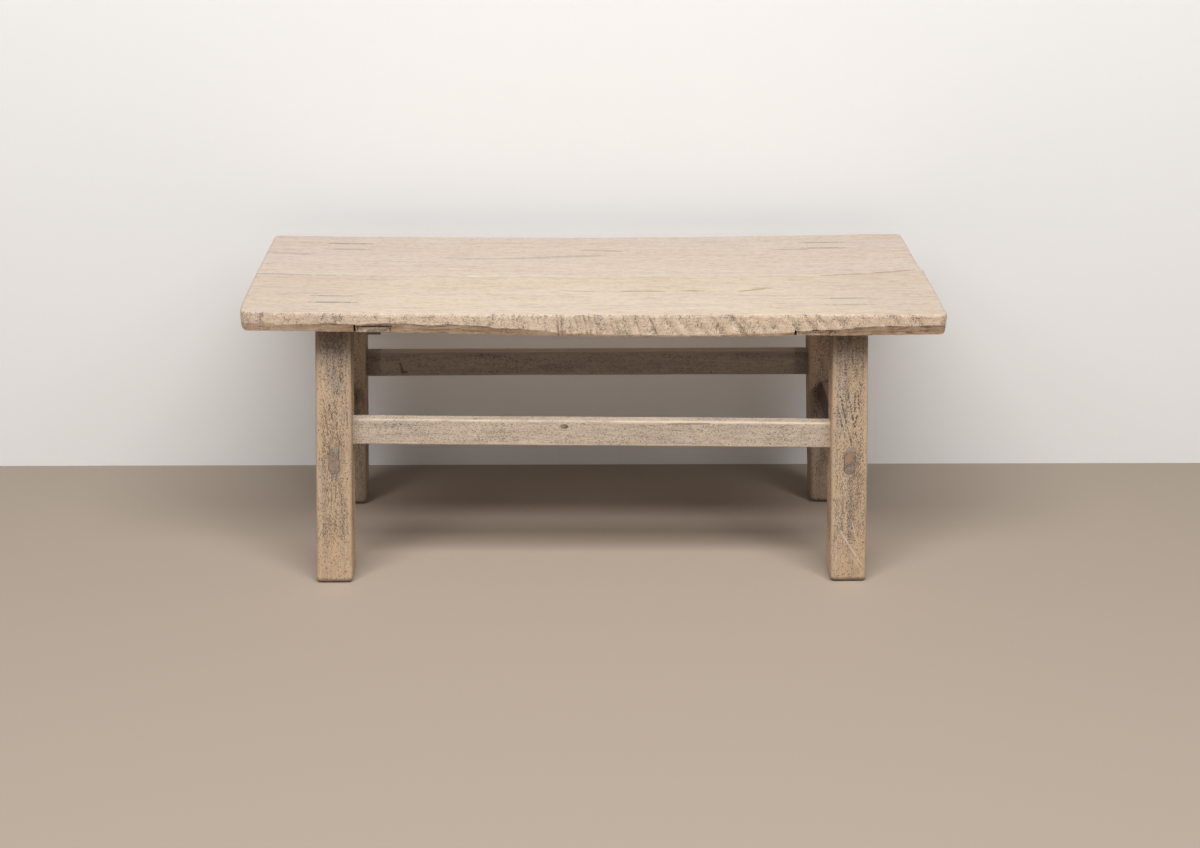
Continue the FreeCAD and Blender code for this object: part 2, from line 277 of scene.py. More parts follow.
# %% Rings
def rounded_ring(half_x, half_y, radius, count_x, count_y):
    """Points round a rectangle with rounded corners, in order, four in each corner."""
    arcs = []
    for index, (sign_x, sign_y) in enumerate(((1, 1), (-1, 1), (-1, -1), (1, -1))):
        centre = np.array([sign_x * (half_x - radius), sign_y * (half_y - radius)])
        turns = (index / 2 + np.linspace(0, 0.5, 4)) * math.pi
        arcs.append(centre + radius * np.stack([np.cos(turns), np.sin(turns)], 1))
    points = []
    for index, arc in enumerate(arcs):
        following = arcs[(index + 1) % 4][0]
        steps = np.linspace(0, 1, (count_x, count_y)[index % 2] + 2)[1:-1, None]
        points += [arc, arc[-1] + (following - arc[-1]) * steps]
    return np.concatenate(points)


def end_rings(ring):
    """Smaller and smaller rings that close an end towards the middle line of its longer side."""
    middle = ring.mean(0)
    spread = ring - middle
    axes = np.linalg.eigh(spread.T @ spread)[1]
    along, across = axes[:, 2], axes[:, 1]
    reach = max(np.abs(spread @ along).max() - np.abs(spread @ across).max(), 0)
    target = middle + np.outer(np.clip(spread @ along, -reach, reach), along)
    return [target + (ring - target) * (1 - step) for step in (0.12, 0.3, 0.5, 0.7, 0.9)]


# %% Skins
def body(rings):
    """The points and faces of a closed body through a row of rings."""
    rings = np.array(rings)
    rows, count = rings.shape[:2]
    index = np.arange(rows * count).reshape(rows, count)
    after = np.roll(index, -1, axis=1)
    quads = np.stack([index[:-1], after[:-1], after[1:], index[1:]], -1).reshape(-1, 4)
    return rings.reshape(-1, 3).tolist(), quads.tolist() + [index[0][::-1].tolist(), index[-1].tolist()]


def solid_mesh(name, points, faces, triangles=False):
    """A mesh whose faces all look outwards."""
    mesh = bpy.data.meshes.new(name)
    mesh.from_pydata(points, [], faces)
    shape = bmesh.new()
    shape.from_mesh(mesh)
    bmesh.ops.recalc_face_normals(shape, faces=shape.faces)
    if triangles:
        bmesh.ops.triangulate(shape, faces=shape.faces)
    shape.to_mesh(mesh)
    shape.free()
    return mesh


def skin(name, rings):
    """A closed skin over a row of rings, its two ends included."""
    return solid_mesh(name, *body(end_rings(rings[0])[::-1] + list(rings) + end_rings(rings[-1])))


def note(mesh, name, values):
    """Writes one number per point, for the geometry trees and the finishes to read."""
    layer = mesh.attributes.get(name) or mesh.attributes.new(name, "FLOAT", "POINT")
    layer.data.foreach_set("value", np.asarray(values, dtype=np.float32))


def smooth_step(value, low, high):
    """Goes softly from 0 at the first bound to 1 at the second, which may be the lower one."""
    share = np.clip((value - low) / (high - low), 0, 1)
    return share * share * (3 - 2 * share)


# %% [markdown]
# ## A worn surface
# Hand tools leave slow waves along the grain, weather opens pits, and use rounds both. The rule is
# the same on every timber, so it is one geometry tree with its sizes as named inputs. It moves each
# point along its normal by the sum of two noises and a field of pits. A number stored on each point
# holds the joints still, and the tree stores how deep each pit is, so that the finish can darken it.

# %% The tree for worn timber
def worn_timber_tree():
    bench, given, out = new_tree(
        "worn_timber", "GeometryNodeTree",
        [("Geometry", "Geometry", None), ("Grain", "Vector", (1, 1, 1)), ("Wave Depth", "Float", 0.0008),
         ("Wave Size", "Float", 0.07), ("Grain Depth", "Float", 0.00015), ("Grain Size", "Float", 0.006),
         ("Pit Depth", "Float", 0.0006), ("Pit Size", "Float", 0.006), ("Pit Clumps", "Float", 0.05),
         ("Pit Cover", "Float", 0.45), ("Seed", "Float", 0.0), ("Finish", "Material", None)],
        [("Geometry", "Geometry")])
    plus, minus, times = bench.plus, bench.minus, bench.times
    place = bench.add("GeometryNodeInputPosition").outputs[0]
    shift = bench.joined(given["Seed"], times(given["Seed"], 1.7))
    grained = bench.vector("ADD", bench.scaled(place, given["Grain"]), shift)

    def field(size, detail):
        """A noise of a given size, zero on average."""
        return minus(bench.noise(bench.stretched(grained, bench.over(1.0, size)), detail), 0.5)

    waves = times(field(given["Wave Size"], 1.5), times(given["Wave Depth"], 3.0))
    fine = times(field(given["Grain Size"], 3.0), times(given["Grain Depth"], 3.0))
    cells = bench.add("ShaderNodeTexVoronoi", {"Vector": grained, "Randomness": 1.0,
                                               "Scale": bench.over(1.0, given["Pit Size"])})
    holes = bench.ramp(cells.outputs["Distance"], 0.1, 0.42, 1.0, 0.0)
    clumps = plus(field(given["Pit Clumps"], 2.0), given["Pit Cover"])
    free = bench.stored("free")
    pits = times(times(holes, bench.ramp(clumps, 0.42, 0.62)), free)
    rise = minus(times(plus(waves, fine), free), times(pits, given["Pit Depth"]))
    normal = bench.add("GeometryNodeInputNormal").outputs[0]
    move = bench.add("GeometryNodeSetPosition", {"Geometry": bench.store(given["Geometry"], "pits", pits),
                                                 "Offset": bench.stretched(normal, rise)})
    return bench.deliver(move.outputs[0], given["Finish"], out)


worn_timber = worn_timber_tree()


# %% Run a timber through its trees
def made_plain(holder, name):
    """The plain mesh that an object's modifiers make of it. The object itself goes."""
    bpy.context.view_layer.update()
    evaluated = holder.evaluated_get(bpy.context.evaluated_depsgraph_get())
    result = bpy.data.meshes.new_from_object(evaluated)
    result.name = name
    bpy.data.objects.remove(holder)
    return result


def grow(mesh, trees, finish):
    """Runs a mesh through geometry trees with the given inputs, and returns the plain result."""
    holder = put("bench", mesh)
    for tree, values in trees:
        modifier = holder.modifiers.new(tree.name, "NODES")
        modifier.node_group = tree
        sockets = {item.name: item.identifier for item in tree.interface.items_tree
                   if item.in_out == "INPUT" and item.name != "Geometry"}
        for label, value in {**values, "Finish": finish}.items():
            modifier[sockets[label]] = value
    return made_plain(holder, mesh.name)


# %% [markdown]
# ## Cutting the joints
# Mortises, dovetail grooves and pin holes are cut with plain bodies, a hair larger than what goes
# into them. The hair is what shows on the real table as a dark line round each joint.

# %% Cutting
def carve(mesh, bodies):
    """Cuts closed bodies out of a mesh, all at once."""
    points, faces = [], []
    for body_points, body_faces in bodies:
        faces += [[index + len(points) for index in face] for face in body_faces]
        points += body_points
    cutter = put("cutter", solid_mesh("cutter", points, faces, triangles=True))
    holder = put("holder", mesh)
    modifier = holder.modifiers.new("cut", "BOOLEAN")
    modifier.solver = "MANIFOLD"
    modifier.object = cutter
    result = made_plain(holder, mesh.name)
    bpy.data.objects.remove(cutter)
    return result


# %% [markdown]
# ## The elm finish
# Old elm that has been scrubbed and bleached is pale, with long soft bands, fine open pores, and grey
# dirt held in its pits. One node group makes all of it from coordinates whose X runs along the
# grain: broad bands, growth rings round a pith, fine streaks, pores that are long on a face and dots
# on an end, and a speckle in clumps. Every timber uses the group with its own colours and its own
# place in the log, so no two look alike.

# %% The node group for elm
def weathered_elm_group():
    bench, given, out = new_tree(
        "weathered_elm", "ShaderNodeTree",
        [("Vector", "Vector", None), ("Light", "Color", (0.8, 0.67, 0.52, 1)),
         ("Warm", "Color", (0.8, 0.64, 0.47, 1)), ("Grey", "Color", (0.68, 0.55, 0.46, 1)),
         ("Dirt", "Color", (0.09, 0.08, 0.08, 1)), ("Bands", "Float", 0.6), ("Streaks", "Float", 0.5),
         ("Speckle", "Float", 0.3), ("Pores", "Float", 0.5), ("Clumps", "Float", 0.55),
         ("Dot Size", "Float", 0.42)],
        [("Color", "Color"), ("Roughness", "Float"), ("Height", "Float")])
    plus, minus, times, ramp = bench.plus, bench.minus, bench.times, bench.ramp
    place = given["Vector"]
    sway = minus(bench.noise(bench.scaled(place, (1.6, 5, 5)), 2), 0.5)
    swayed = bench.vector("ADD", place, bench.scaled(bench.joined(y=sway, z=sway), (0, 0.03, 0.03)))

    def grained(stretch, detail=3.0, rough=0.6, shift=(0, 0, 0), at=swayed):
        """A noise drawn out along the grain. A shift keeps it unlike the others."""
        return bench.noise(bench.scaled(bench.vector("ADD", at, shift), stretch), detail, rough)

    def reading(name):
        """A number that the mesh carries on its points."""
        return bench.add("ShaderNodeAttribute", attribute_name=name).outputs["Fac"]

    def tinted(color, share, tint):
        return bench.mix(share, color, bench.mix(1.0, color, (*tint, 1), "MULTIPLY"))

    # the wood itself: bands, growth rings round a pith, streaks and pores
    warm_share = ramp(grained((1.3, 14, 14), 3, 0.55), 0.36, 0.64)
    grey_share = ramp(grained((1.9, 58, 58), 3, 0.6, (3, 7, 1)), 0.45, 0.72)
    color = bench.mix(times(warm_share, given["Bands"]), given["Light"], given["Warm"])
    color = bench.mix(times(grey_share, given["Bands"]), color, given["Grey"])
    from_pith = bench.vector("LENGTH", bench.scaled(swayed, (0, 1, 1)))
    rings = bench.total((from_pith, 190.0), (grained((3, 30, 30), 2), 2.5))
    ring = bench.math("FRACT", rings)
    ring_line = times(ramp(ring, 0.55, 1.0), ramp(ring, 0.98, 1.0, 1.0, 0.0))
    fine = grained((40, 380, 380), 4, 0.7)
    middling = grained((14, 150, 150), 3, 0.65, (9, 2, 5))
    mottle = grained((90, 130, 130), 3, 0.7, (1, 8, 3))
    tone = bench.total((ramp(middling, 0.46, 0.70), 0.45), (ramp(fine, 0.47, 0.66), 0.6),
                       (ring_line, 0.16), (ramp(mottle, 0.45, 0.66), 0.45))
    color = tinted(color, times(tone, given["Streaks"]), (0.72, 0.66, 0.62))
    pores = times(ramp(grained((70, 1100, 1100), 1.5, 0.5, at=place), 0.60, 0.70),
                  ramp(ring, 0.3, 0.8, 0.25, 1.0))
    color = bench.mix(times(pores, given["Pores"]), color, given["Dirt"])

    # hewn wood and raw wood
    raw, grime_and_shade = reading("raw"), reading("grime_and_shade")
    unbroken = minus(1.0, times(raw, 0.55))
    hewn, hollow = times(reading("hewn"), unbroken), times(reading("hollow"), unbroken)
    smooth = minus(1.0, hewn)
    color = tinted(color, hewn, (1.02, 0.97, 0.92))
    color = tinted(color, times(raw, ramp(middling, 0.3, 0.65, 0.7, 1.0)), (0.77, 0.68, 0.59))
    color = tinted(color, times(raw, ramp(fine, 0.50, 0.62, 0.0, 0.8)), (0.55, 0.45, 0.38))

    # how much dirt a place holds: grit in clumps, more of it in pits, hollows, dark rings, grime and
    # painted shade
    grit = bench.total((grained((300, 620, 620), 2.0, 0.7, at=place), smooth),
                       (grained((420, 420, 300), 2.5, 0.7, (2, 2, 2), at=place), hewn))
    clump = bench.total((grained((12, 40, 40), 3, 0.6, (4, 4, 4), at=place), smooth),
                        (grained((72, 72, 38), 2.5, 0.6, (6, 1, 2), at=place), hewn))
    wide_ring = bench.math("ABSOLUTE", minus(bench.math("FRACT", times(rings, 0.5)), 0.5))
    rows = times(minus(ramp(wide_ring, 0.12, 0.42), 0.5), smooth)
    held = bench.total((reading("pits"), 0.08), (hollow, 0.13), (hewn, 0.19), (reading("clean"), -0.20),
                       (grime_and_shade, 0.10), (times(rows, given["Speckle"]), 0.07))
    level = bench.total(grit, (minus(clump, 0.5), given["Clumps"]), held,
                        (minus(given["Speckle"], 0.5), 0.35))

    # the dirt's specks, its dots and a grey haze round them
    drift = bench.scaled(bench.drift(place, 160.0, 2.0), (0.012, 0.006, 0.006))
    spread = bench.vector("ADD", place, drift)
    cells = bench.add("ShaderNodeTexVoronoi", {"Vector": bench.scaled(spread, (165, 320, 320)),
                                               "Scale": bench.over(1.0, given["Dot Size"])}).outputs
    clear = times(minus(0.5, given["Speckle"]), times(smooth, 0.5))
    chance = bench.total(bench.parts(cells["Color"])[0], (minus(level, grit), 1.6))
    dots = times(ramp(cells["Distance"], 0.26, 0.43, 1.0, 0.0), ramp(minus(chance, clear), 0.55, 0.68))
    specks = bench.math("MAXIMUM", times(ramp(level, 0.62, 0.69), 0.55), dots)
    tan = ramp(grained((14, 42, 42), 2, 0.6, (1, 3, 8), at=place), 0.48, 0.66)
    color = bench.mix(times(tan, given["Speckle"]), color, given["Warm"])
    color = tinted(color, ramp(level, 0.45, 0.72, 0.0, 0.31), (0.64, 0.635, 0.665))
    color = bench.mix(specks, color, given["Dirt"])

    # use: rubbed arrises, open ends and bleach, painted light on top faces, and grime mixed with painted
    # shade
    rubbed = times(ramp(reading("arris"), 0.4, 1.0),
                   ramp(grained((18, 60, 60), 3, 0.5, at=place), 0.35, 0.6))
    color = bench.mix(times(rubbed, 0.7), color, given["Warm"])
    end_tone = times(reading("end_grain"), ramp(grained((1, 260, 260), 3, 0.7, at=place), 0.35, 0.7))
    color = tinted(color, times(end_tone, 0.6), (0.5, 0.42, 0.37))
    bleached_end = tinted((0.86, 0.73, 0.59, 1), ramp(grit, 0.45, 0.75), (0.84, 0.80, 0.77))
    color = bench.mix(reading("bleach"), color, bleached_end)
    color = tinted(color, reading("dulled"), (0.94, 0.92, 0.945))
    color = bench.mix(reading("top_light"), color, (0.88, 0.84, 0.80, 1))
    bench.feed(out["Color"], bench.mix(times(grime_and_shade, 0.8), color, given["Dirt"]))
    bench.feed(out["Roughness"], bench.total(0.5, (fine, 0.25), (specks, 0.12)))
    bench.feed(out["Height"], bench.total((fine, -0.30), (pores, -0.3), (specks, -0.8)))
    return bench.tree


weathered_elm = weathered_elm_group()


# %% The node group for marks
def mark_group():
    """How dark a crack, a joint's line or a scratch is: a wavering line between two points."""
    bench, given, out = new_tree(
        "mark", "ShaderNodeTree",
        [("Vector", "Vector", None), ("From", "Vector", (0, 0, 0)), ("To", "Vector", (0, 0, 0)),
         ("Width", "Float", 0.001), ("Waver", "Float", 0.001), ("Strength", "Float", 1.0),
         ("Dashes", "Float", 0.0)],
        [("Mark", "Float")])
    plus, minus, times, ramp = bench.plus, bench.minus, bench.times, bench.ramp
    dashes = given["Dashes"]
    waver_size = plus(given["Waver"], times(dashes, 0.0025))
    drift = bench.stretched(bench.drift(given["Vector"], 55.0, 3.0), waver_size)
    place = bench.vector("SUBTRACT", bench.vector("ADD", given["Vector"], drift), given["From"])
    run = bench.vector("SUBTRACT", given["To"], given["From"])
    share = bench.over(bench.vector("DOT_PRODUCT", place, run),
                       bench.math("MAXIMUM", bench.vector("DOT_PRODUCT", run, run), 1e-9))
    share = bench.math("MAXIMUM", bench.math("MINIMUM", share, 1.0), 0.0)
    away = bench.vector("DISTANCE", place, bench.stretched(run, share))
    from_middle = bench.math("ABSOLUTE", minus(times(share, 2.0), 1.0))
    taper = minus(1.0, times(bench.math("POWER", from_middle, 4.0), 0.7))
    line = ramp(bench.over(away, times(given["Width"], taper)), 0.35, 1.0, 1.0, 0.0)
    breaks = bench.noise(given["Vector"], 3, 0.6, plus(90.0, times(dashes, 210.0)))
    broken = ramp(minus(breaks, times(dashes, 0.08)), 0.30, 0.48, minus(0.35, times(dashes, 0.35)), 1.0)
    bench.feed(out["Mark"], times(times(line, broken), given["Strength"]))
    return bench.tree


mark = mark_group()


# %% One timber's finish
def elm(name, grain, centre, colors, levels, marks=()):
    """One timber's finish: where it sat in the log, its colours, and the marks it alone carries."""
    material = bpy.data.materials.new(name)
    material.use_nodes = True
    bench = Bench(material.node_tree)
    place = bench.add("ShaderNodeTexCoord").outputs["Object"]
    turned = {"x": (0, 0, 0), "y": (0, 0, -math.pi / 2), "z": (0, math.pi / 2, 0)}[grain]
    mapping = bench.add("ShaderNodeMapping", {"Vector": place, "Location": centre, "Rotation": turned})
    opaque = {label: (*color, 1) for label, color in colors.items()}
    wood = bench.add("ShaderNodeGroup", {"Vector": mapping.outputs[0], **opaque, **levels},
                     node_tree=weathered_elm).outputs
    color, height = wood["Color"], wood["Height"]
    for start, end, width, strength, tint, *dashes in marks:
        line = bench.add("ShaderNodeGroup", {"Vector": place, "From": start, "To": end, "Width": width,
                                             "Strength": strength, "Dashes": sum(dashes)},
                         node_tree=mark).outputs[0]
        color = bench.mix(line, color, (*tint, 1))
        height = bench.minus(height, line)
    relief = bench.add("ShaderNodeBump", {"Height": height, "Strength": 0.5, "Distance": 0.0006})
    surface = material.node_tree.nodes["Principled BSDF"]
    for label, value in {"Base Color": color, "Roughness": wood["Roughness"],
                         "Specular IOR Level": 0.32, "Normal": relief.outputs[0]}.items():
        bench.feed(surface.inputs[label], value)
    return material


# %% Hand a piece over
def dress(mesh, name, finish, nodes):
    """Makes the piece that stands for one or more construction nodes."""
    mesh.name = name
    mesh.materials.clear()
    mesh.materials.append(finish)
    mesh.shade_smooth()
    mesh.set_sharp_from_angle(angle=math.radians(50))
    piece = put(name, mesh)
    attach(piece, "root")
    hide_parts(*nodes)
    print(name, len(mesh.polygons), "faces")


# %% [markdown]
# ## The top's shape
# The top sags a little in the middle and its front edge is the outside of the log: it bellies, and
# its lower corner falls away in a wane. Long straight stretches are read off the solid by cuts, and
# the wane is given as shares of its full size along the top, as a maker would mark it.

# %% The top's lines
top_shape = {"half": 0.55, "height": 0.484, "sag": 0.0045, "thickness": 0.033, "arris": 0.0062,
             "corner": 0.014, "end_round": 0.005, "end_under": 0.009, "wane_height": 0.017,
             "wane_inset": 0.006}
right_ends = {"front": 0.55, "back": 0.546}
# along the top from -1 to 1, and the wane's share of its full size there
wane = np.array([(-1, 0.8), (-0.91, 0.86), (-0.84, 0.82), (-0.72, 0.84), (-0.6, 0.95), (-0.36, 0.95),
                 (-0.27, 0.76), (-0.16, 0.52), (-0.09, 0.28), (0.02, 0.18), (0.3, 0.12), (0.45, 0.25),
                 (0.55, 0.42), (0.7, 0.66), (0.765, 0.92), (0.86, 0.9), (0.91, 1.03), (1, 1)])
batten_spans = ((-0.378, -0.31), (0.31, 0.38))
measured_x = np.array([x for x in np.linspace(-0.535, 0.535, 84)
                       if not any(low < x < high for low, high in batten_spans)])
front_cuts, back_cuts = (np.array([cut_box("top_" + side + "_board", 0, x) for x in measured_x])
                         for side in ("front", "back"))
top_lines = {"front": front_cuts[:, 0, 1], "seam": front_cuts[:, 1, 1], "seam_back": back_cuts[:, 0, 1],
             "back": back_cuts[:, 1, 1], "low_front": front_cuts[:, 0, 2]}


def top_line(name, x):
    """Any of the measured lines at a place along the top, run on straight past its last cuts."""
    line = top_lines[name]
    values = np.interp(x, measured_x, line)
    for end, other in ((0, 3), (-1, -4)):
        slope = (line[end] - line[other]) / (measured_x[end] - measured_x[other])
        past = (x - measured_x[end]) * (1 if end else -1) > 0
        values = np.where(past, line[end] + slope * (x - measured_x[end]), values)
    return values


def surface_at(x):
    """The height of the top's face, which sags in the middle."""
    return top_shape["height"] - top_shape["sag"] * (1 - (np.asarray(x) / top_shape["half"]) ** 2)


print("front edge from", np.round(top_line("front", np.array([-0.55, 0, 0.55])), 4))

# %% [markdown]
# ## Skinning a board
# Each cross-section goes round the board: the face, the worn front arris, the front edge, the wane,
# the underside and the seam. The stations crowd together at the ends, where the corners are round
# in plan and the end is rounded over. The lip of the wane wanders a little, as a split edge does.

# %% Board sections
def waver(x, seed, size, depth):
    """A slow, repeatable wander along a line, from a few waves of unlike length."""
    dice = np.random.default_rng(seed)
    x = np.asarray(x, float)
    total = np.zeros_like(x)
    for octave in range(4):
        phase = x * 2 * math.pi / size * 1.9 ** octave + dice.uniform(0, 6.28)
        total += np.sin(phase) / 1.7 ** octave
    return total * depth / 2


def wane_at(x):
    """The wane's share of its full size at a place along the top, and the height of its lip."""
    share = np.interp(x, wane[:, 0] * top_shape["half"], wane[:, 1])
    wander = waver(x, 3, 0.11, 0.0016) * np.minimum(share * 2, 1)
    return share, top_line("low_front", x) + share * top_shape["wane_height"] + wander


def rounding(distance, radius):
    """How far a worn edge has drawn in at a distance from the end."""
    inside = np.clip(1 - distance / radius, 0, 1)
    return radius * (1 - np.sqrt(np.clip(1 - inside ** 2, 0, 1)))


def end_wear(x, right_end):
    """How far an end is worn away at its corner in plan, at its face and at its underside."""
    to_end = min(x + top_shape["half"], right_end - x)
    return [rounding(to_end, top_shape[key]) for key in ("corner", "end_round", "end_under")]


def seam_wear(x):
    """Half the gap of the seam, and how far its arrises are softened. Both are larger at the left."""
    return 0.00012 + 0.00035 * smooth_step(-x, 0.12, 0.3), 0.0005 + 0.0008 * smooth_step(-x, 0.1, 0.25)


def board_stations(right_end, step):
    """Places along a board, close together at its two ends."""
    turned = 0.016
    near = turned * (1 - np.cos(np.linspace(0, math.pi / 2, 10)))
    left_end = -top_shape["half"]
    middle = np.linspace(left_end + turned, right_end - turned, int((right_end - left_end) / step))
    return np.concatenate([left_end + near[:-1], middle, (right_end - near[:-1])[::-1]])


# %% Sections of the two boards
quarter_turn = math.pi / 2


def straight(start, end, count):
    """Points on a line, its start left out."""
    (y0, z0), (y1, z1) = start, end
    return [(y0 + (y1 - y0) * t, z0 + (z1 - z0) * t) for t in np.linspace(0, 1, count)[1:]]


def board_face(seam, soft, top, edge, way, count):
    """Points round the arris at the seam and over the face to its outer edge."""
    start = seam + way * soft
    near = start + way * np.array([0.0011, 0.0022, 0.004, 0.007, 0.011])
    across = np.concatenate([near, np.linspace(start + way * 0.016, edge, count)])
    return [(seam, top - soft), (seam + way * soft * 0.35, top - soft * 0.3), (start, top)] + [
        (y, top) for y in across]


def front_board_ring(x, right_end):
    drawn, dropped, lifted = end_wear(x, right_end)
    gap, soft = seam_wear(x)
    front, seam = top_line("front", x) + drawn, top_line("seam", x) - gap
    top = surface_at(x) - dropped
    low_front = top_line("low_front", x) + lifted
    low_back = surface_at(x) - top_shape["thickness"] + lifted
    share, lip_height = wane_at(x)
    lip_height = lip_height + lifted
    wane_back = front + share * top_shape["wane_inset"] + waver(x, 5, 0.07, 0.0012) * share
    arris = top_shape["arris"] + waver(x, 8, 0.16, 0.0012)
    ring = board_face(seam, soft, top, front + arris, -1, 34)
    ring += [(front + arris * (1 - math.sin(t)), top - arris * (1 - math.cos(t)))
             for t in np.linspace(0, quarter_turn, 8)[1:]]
    ring += straight((front, top - arris), (front, lip_height), 19)
    ring += straight((front, lip_height), (wane_back, low_front), 8)
    ring += straight((wane_back, low_front), (seam, low_back), 24)
    ring += straight((seam, low_back), (seam, top - soft), 7)[:-1]
    return np.array([(x, float(y), float(z)) for y, z in ring])


def back_board_ring(x, right_end):
    drawn, dropped, lifted = end_wear(x, right_end)
    gap, soft = seam_wear(x)
    back, seam = top_line("back", x) - drawn, top_line("seam_back", x) + gap
    top, low = surface_at(x) - dropped, surface_at(x) - top_shape["thickness"] + lifted
    arris = 0.004 + waver(x, 12, 0.2, 0.001)
    turns = np.linspace(0, quarter_turn, 7)[1:]
    ring = board_face(seam, soft, top, back - arris, 1, 38)
    ring += [(back - arris * (1 - math.sin(t)), top - arris * (1 - math.cos(t))) for t in turns]
    ring += straight((back, top - arris), (back, low + arris), 12)
    ring += [(back - arris * (1 - math.cos(t)), low + arris * (1 - math.sin(t))) for t in turns]
    ring += straight((back - arris, low), (seam, low), 24)
    ring += straight((seam, low), (seam, top - soft), 7)[:-1]
    return np.array([(x, float(y), float(z)) for y, z in ring])


# %% Skin the two boards
front_ring_size = len(front_board_ring(0.0, right_ends["front"]))
lip_row = 66  # the point of a front ring where the front edge turns into the wane
skins = {}
for side, board_ring, step in (("front", front_board_ring, 0.0018), ("back", back_board_ring, 0.0025)):
    stations = board_stations(right_ends[side], step)
    mesh = skin("top_" + side + "_board", [board_ring(x, right_ends[side]) for x in stations])
    points = coordinates(mesh)
    # the left end bows out and the right end flares, as they do on the solid
    belly = smooth_step(points[:, 1], -0.226, -0.15) * smooth_step(points[:, 1], 0.215, -0.10)
    points[:, 0] -= 0.0042 * belly * smooth_step(points[:, 0], -0.49, -0.545)
    points[:, 0] += 0.0032 * smooth_step(points[:, 0], 0.48, 0.54)
    mesh.vertices.foreach_set("co", points.ravel())
    # the wear keeps clear of the seam, the underside and the mortises
    x, y, z = points.T
    free = smooth_step(np.abs(y - top_line("seam", x)), 0.0005, 0.006) * smooth_step(z, 0.4445, 0.4515)
    for corner in corners:
        middle, half = tenons[corner].middle(tenon_top), tenons[corner].half(tenon_top)
        away = np.maximum(np.abs(x - middle[0]) - half[0] - 0.007, np.abs(y - middle[1]) - half[1])
        free *= np.where(z > 0.47, smooth_step(away, 0.003, 0.014), 1)
    note(mesh, "free", free)
    skins[side] = mesh
    print(mesh.name, len(mesh.polygons), "faces before its joints are cut")

# %% [markdown]
# ## The hewn front edge
# The front edge was never planed. It still has shallow hollows, 15 to 40 mm apart, where the tool
# followed the outside of the log. They stand upright at the left and lean over at the right. A rule
# fits this: a one-dimensional cell pattern along the edge gives uneven spacing, and shifting it by
# height makes the hollows lean.

# %% The tree for the hewn edge
def hewn_edge_tree():
    bench, given, out = new_tree(
        "hewn_edge", "GeometryNodeTree",
        [("Geometry", "Geometry", None), ("Spacing", "Float", 0.024), ("Depth", "Float", 0.0022),
         ("Lean Left", "Float", -0.25), ("Lean Right", "Float", 0.75), ("Roughness", "Float", 0.0018),
         ("Seed", "Float", 2.0), ("Finish", "Material", None)],
        [("Geometry", "Geometry")])
    plus, minus, times, ramp = bench.plus, bench.minus, bench.times, bench.ramp
    place = bench.add("GeometryNodeInputPosition").outputs[0]
    x, _, z = bench.parts(place)
    lean = ramp(x, -0.2, 0.12, given["Lean Left"], given["Lean Right"])
    drift = times(minus(bench.noise(place, 2, 0.5, 60.0), 0.5), 0.012)
    along = plus(bench.over(bench.total(x, (lean, z), drift), given["Spacing"]), given["Seed"])
    cells = bench.add("ShaderNodeTexVoronoi", {"W": along, "Scale": 1.0, "Randomness": 1.0},
                      voronoi_dimensions="1D").outputs
    each = ramp(bench.parts(cells["Color"])[0], 0.1, 0.7, 0.25, 1.0)
    strength = times(ramp(x, -0.22, -0.06, 0.4, 1.0), ramp(x, 0.3, 0.4, 1.0, 0.45))
    hollow = times(times(ramp(cells["Distance"], 0.05, 0.42, 1.0, 0.0), strength), each)
    rough = minus(bench.noise(bench.scaled(place, (150, 150, 100)), 4, 0.65), 0.42)
    deep = bench.total((hollow, given["Depth"]), (times(rough, given["Roughness"]), strength))
    face = bench.stored("hewn")
    move = bench.add("GeometryNodeSetPosition",
                     {"Geometry": bench.store(given["Geometry"], "hollow", times(hollow, face)),
                      "Offset": bench.joined(y=times(deep, face))})
    return bench.deliver(move.outputs[0], given["Finish"], out)


hewn_edge = hewn_edge_tree()

# %% Where the front edge is hewn, where a dark line runs along its wane's lip, and painted shade on its upper arris
x, y, z = coordinates(skins["front"]).T
behind_front = y - top_line("front", x)
below_face = surface_at(x) - z
hewn = smooth_step(behind_front, 0.010, 0.004) * smooth_step(below_face, -0.0003, 0.0018)
note(skins["front"], "hewn", hewn)
row = np.arange(len(x)) % front_ring_size
lip = (row == lip_row) * 1.0 + (row == lip_row + 1) * 0.45 + (row == lip_row + 4) * 0.35
lip_share = smooth_step(wane_at(x)[0] * (1 - 0.75 * smooth_step(-x, 0.40, 0.46)), 0.25, 0.75)
broken = 0.45 + 0.55 * smooth_step(waver(x, 21, 0.05, 1.0), -0.5, 0.4)
# Painted shade that tones down the bright upper front arris.
arris_shade = smooth_step(behind_front, 0.009, 0.005) * smooth_step(below_face, 0.008, 0.004)
note(skins["front"], "grime_and_shade", lip * lip_share * broken + 0.12 * arris_shade)
print("points on the hewn edge:", int((behind_front < 0.004).sum()))

# %% [markdown]
# ## Colours
# The colours are written as they should look under plain light. The front board is a little more yellow,
# the back board greyer and pinker, and the frame browner where hands reached it. Further down, the back
# legs and the rails take darker copies of these colours, which are painted shade, and the right batten a
# lighter copy, which is painted light.

# %% Colours
bleached = {"Light": (0.87, 0.74, 0.595), "Warm": (0.89, 0.73, 0.54),
            "Grey": (0.81, 0.67, 0.56), "Dirt": (0.10, 0.09, 0.09)}
pinkish = {"Light": (0.89, 0.75, 0.63), "Warm": (0.89, 0.73, 0.575),
           "Grey": (0.80, 0.66, 0.565), "Dirt": (0.12, 0.10, 0.095)}
weathered = {"Light": (0.76, 0.60, 0.44), "Warm": (0.70, 0.50, 0.32),
             "Grey": (0.50, 0.41, 0.34), "Dirt": (0.062, 0.060, 0.066)}
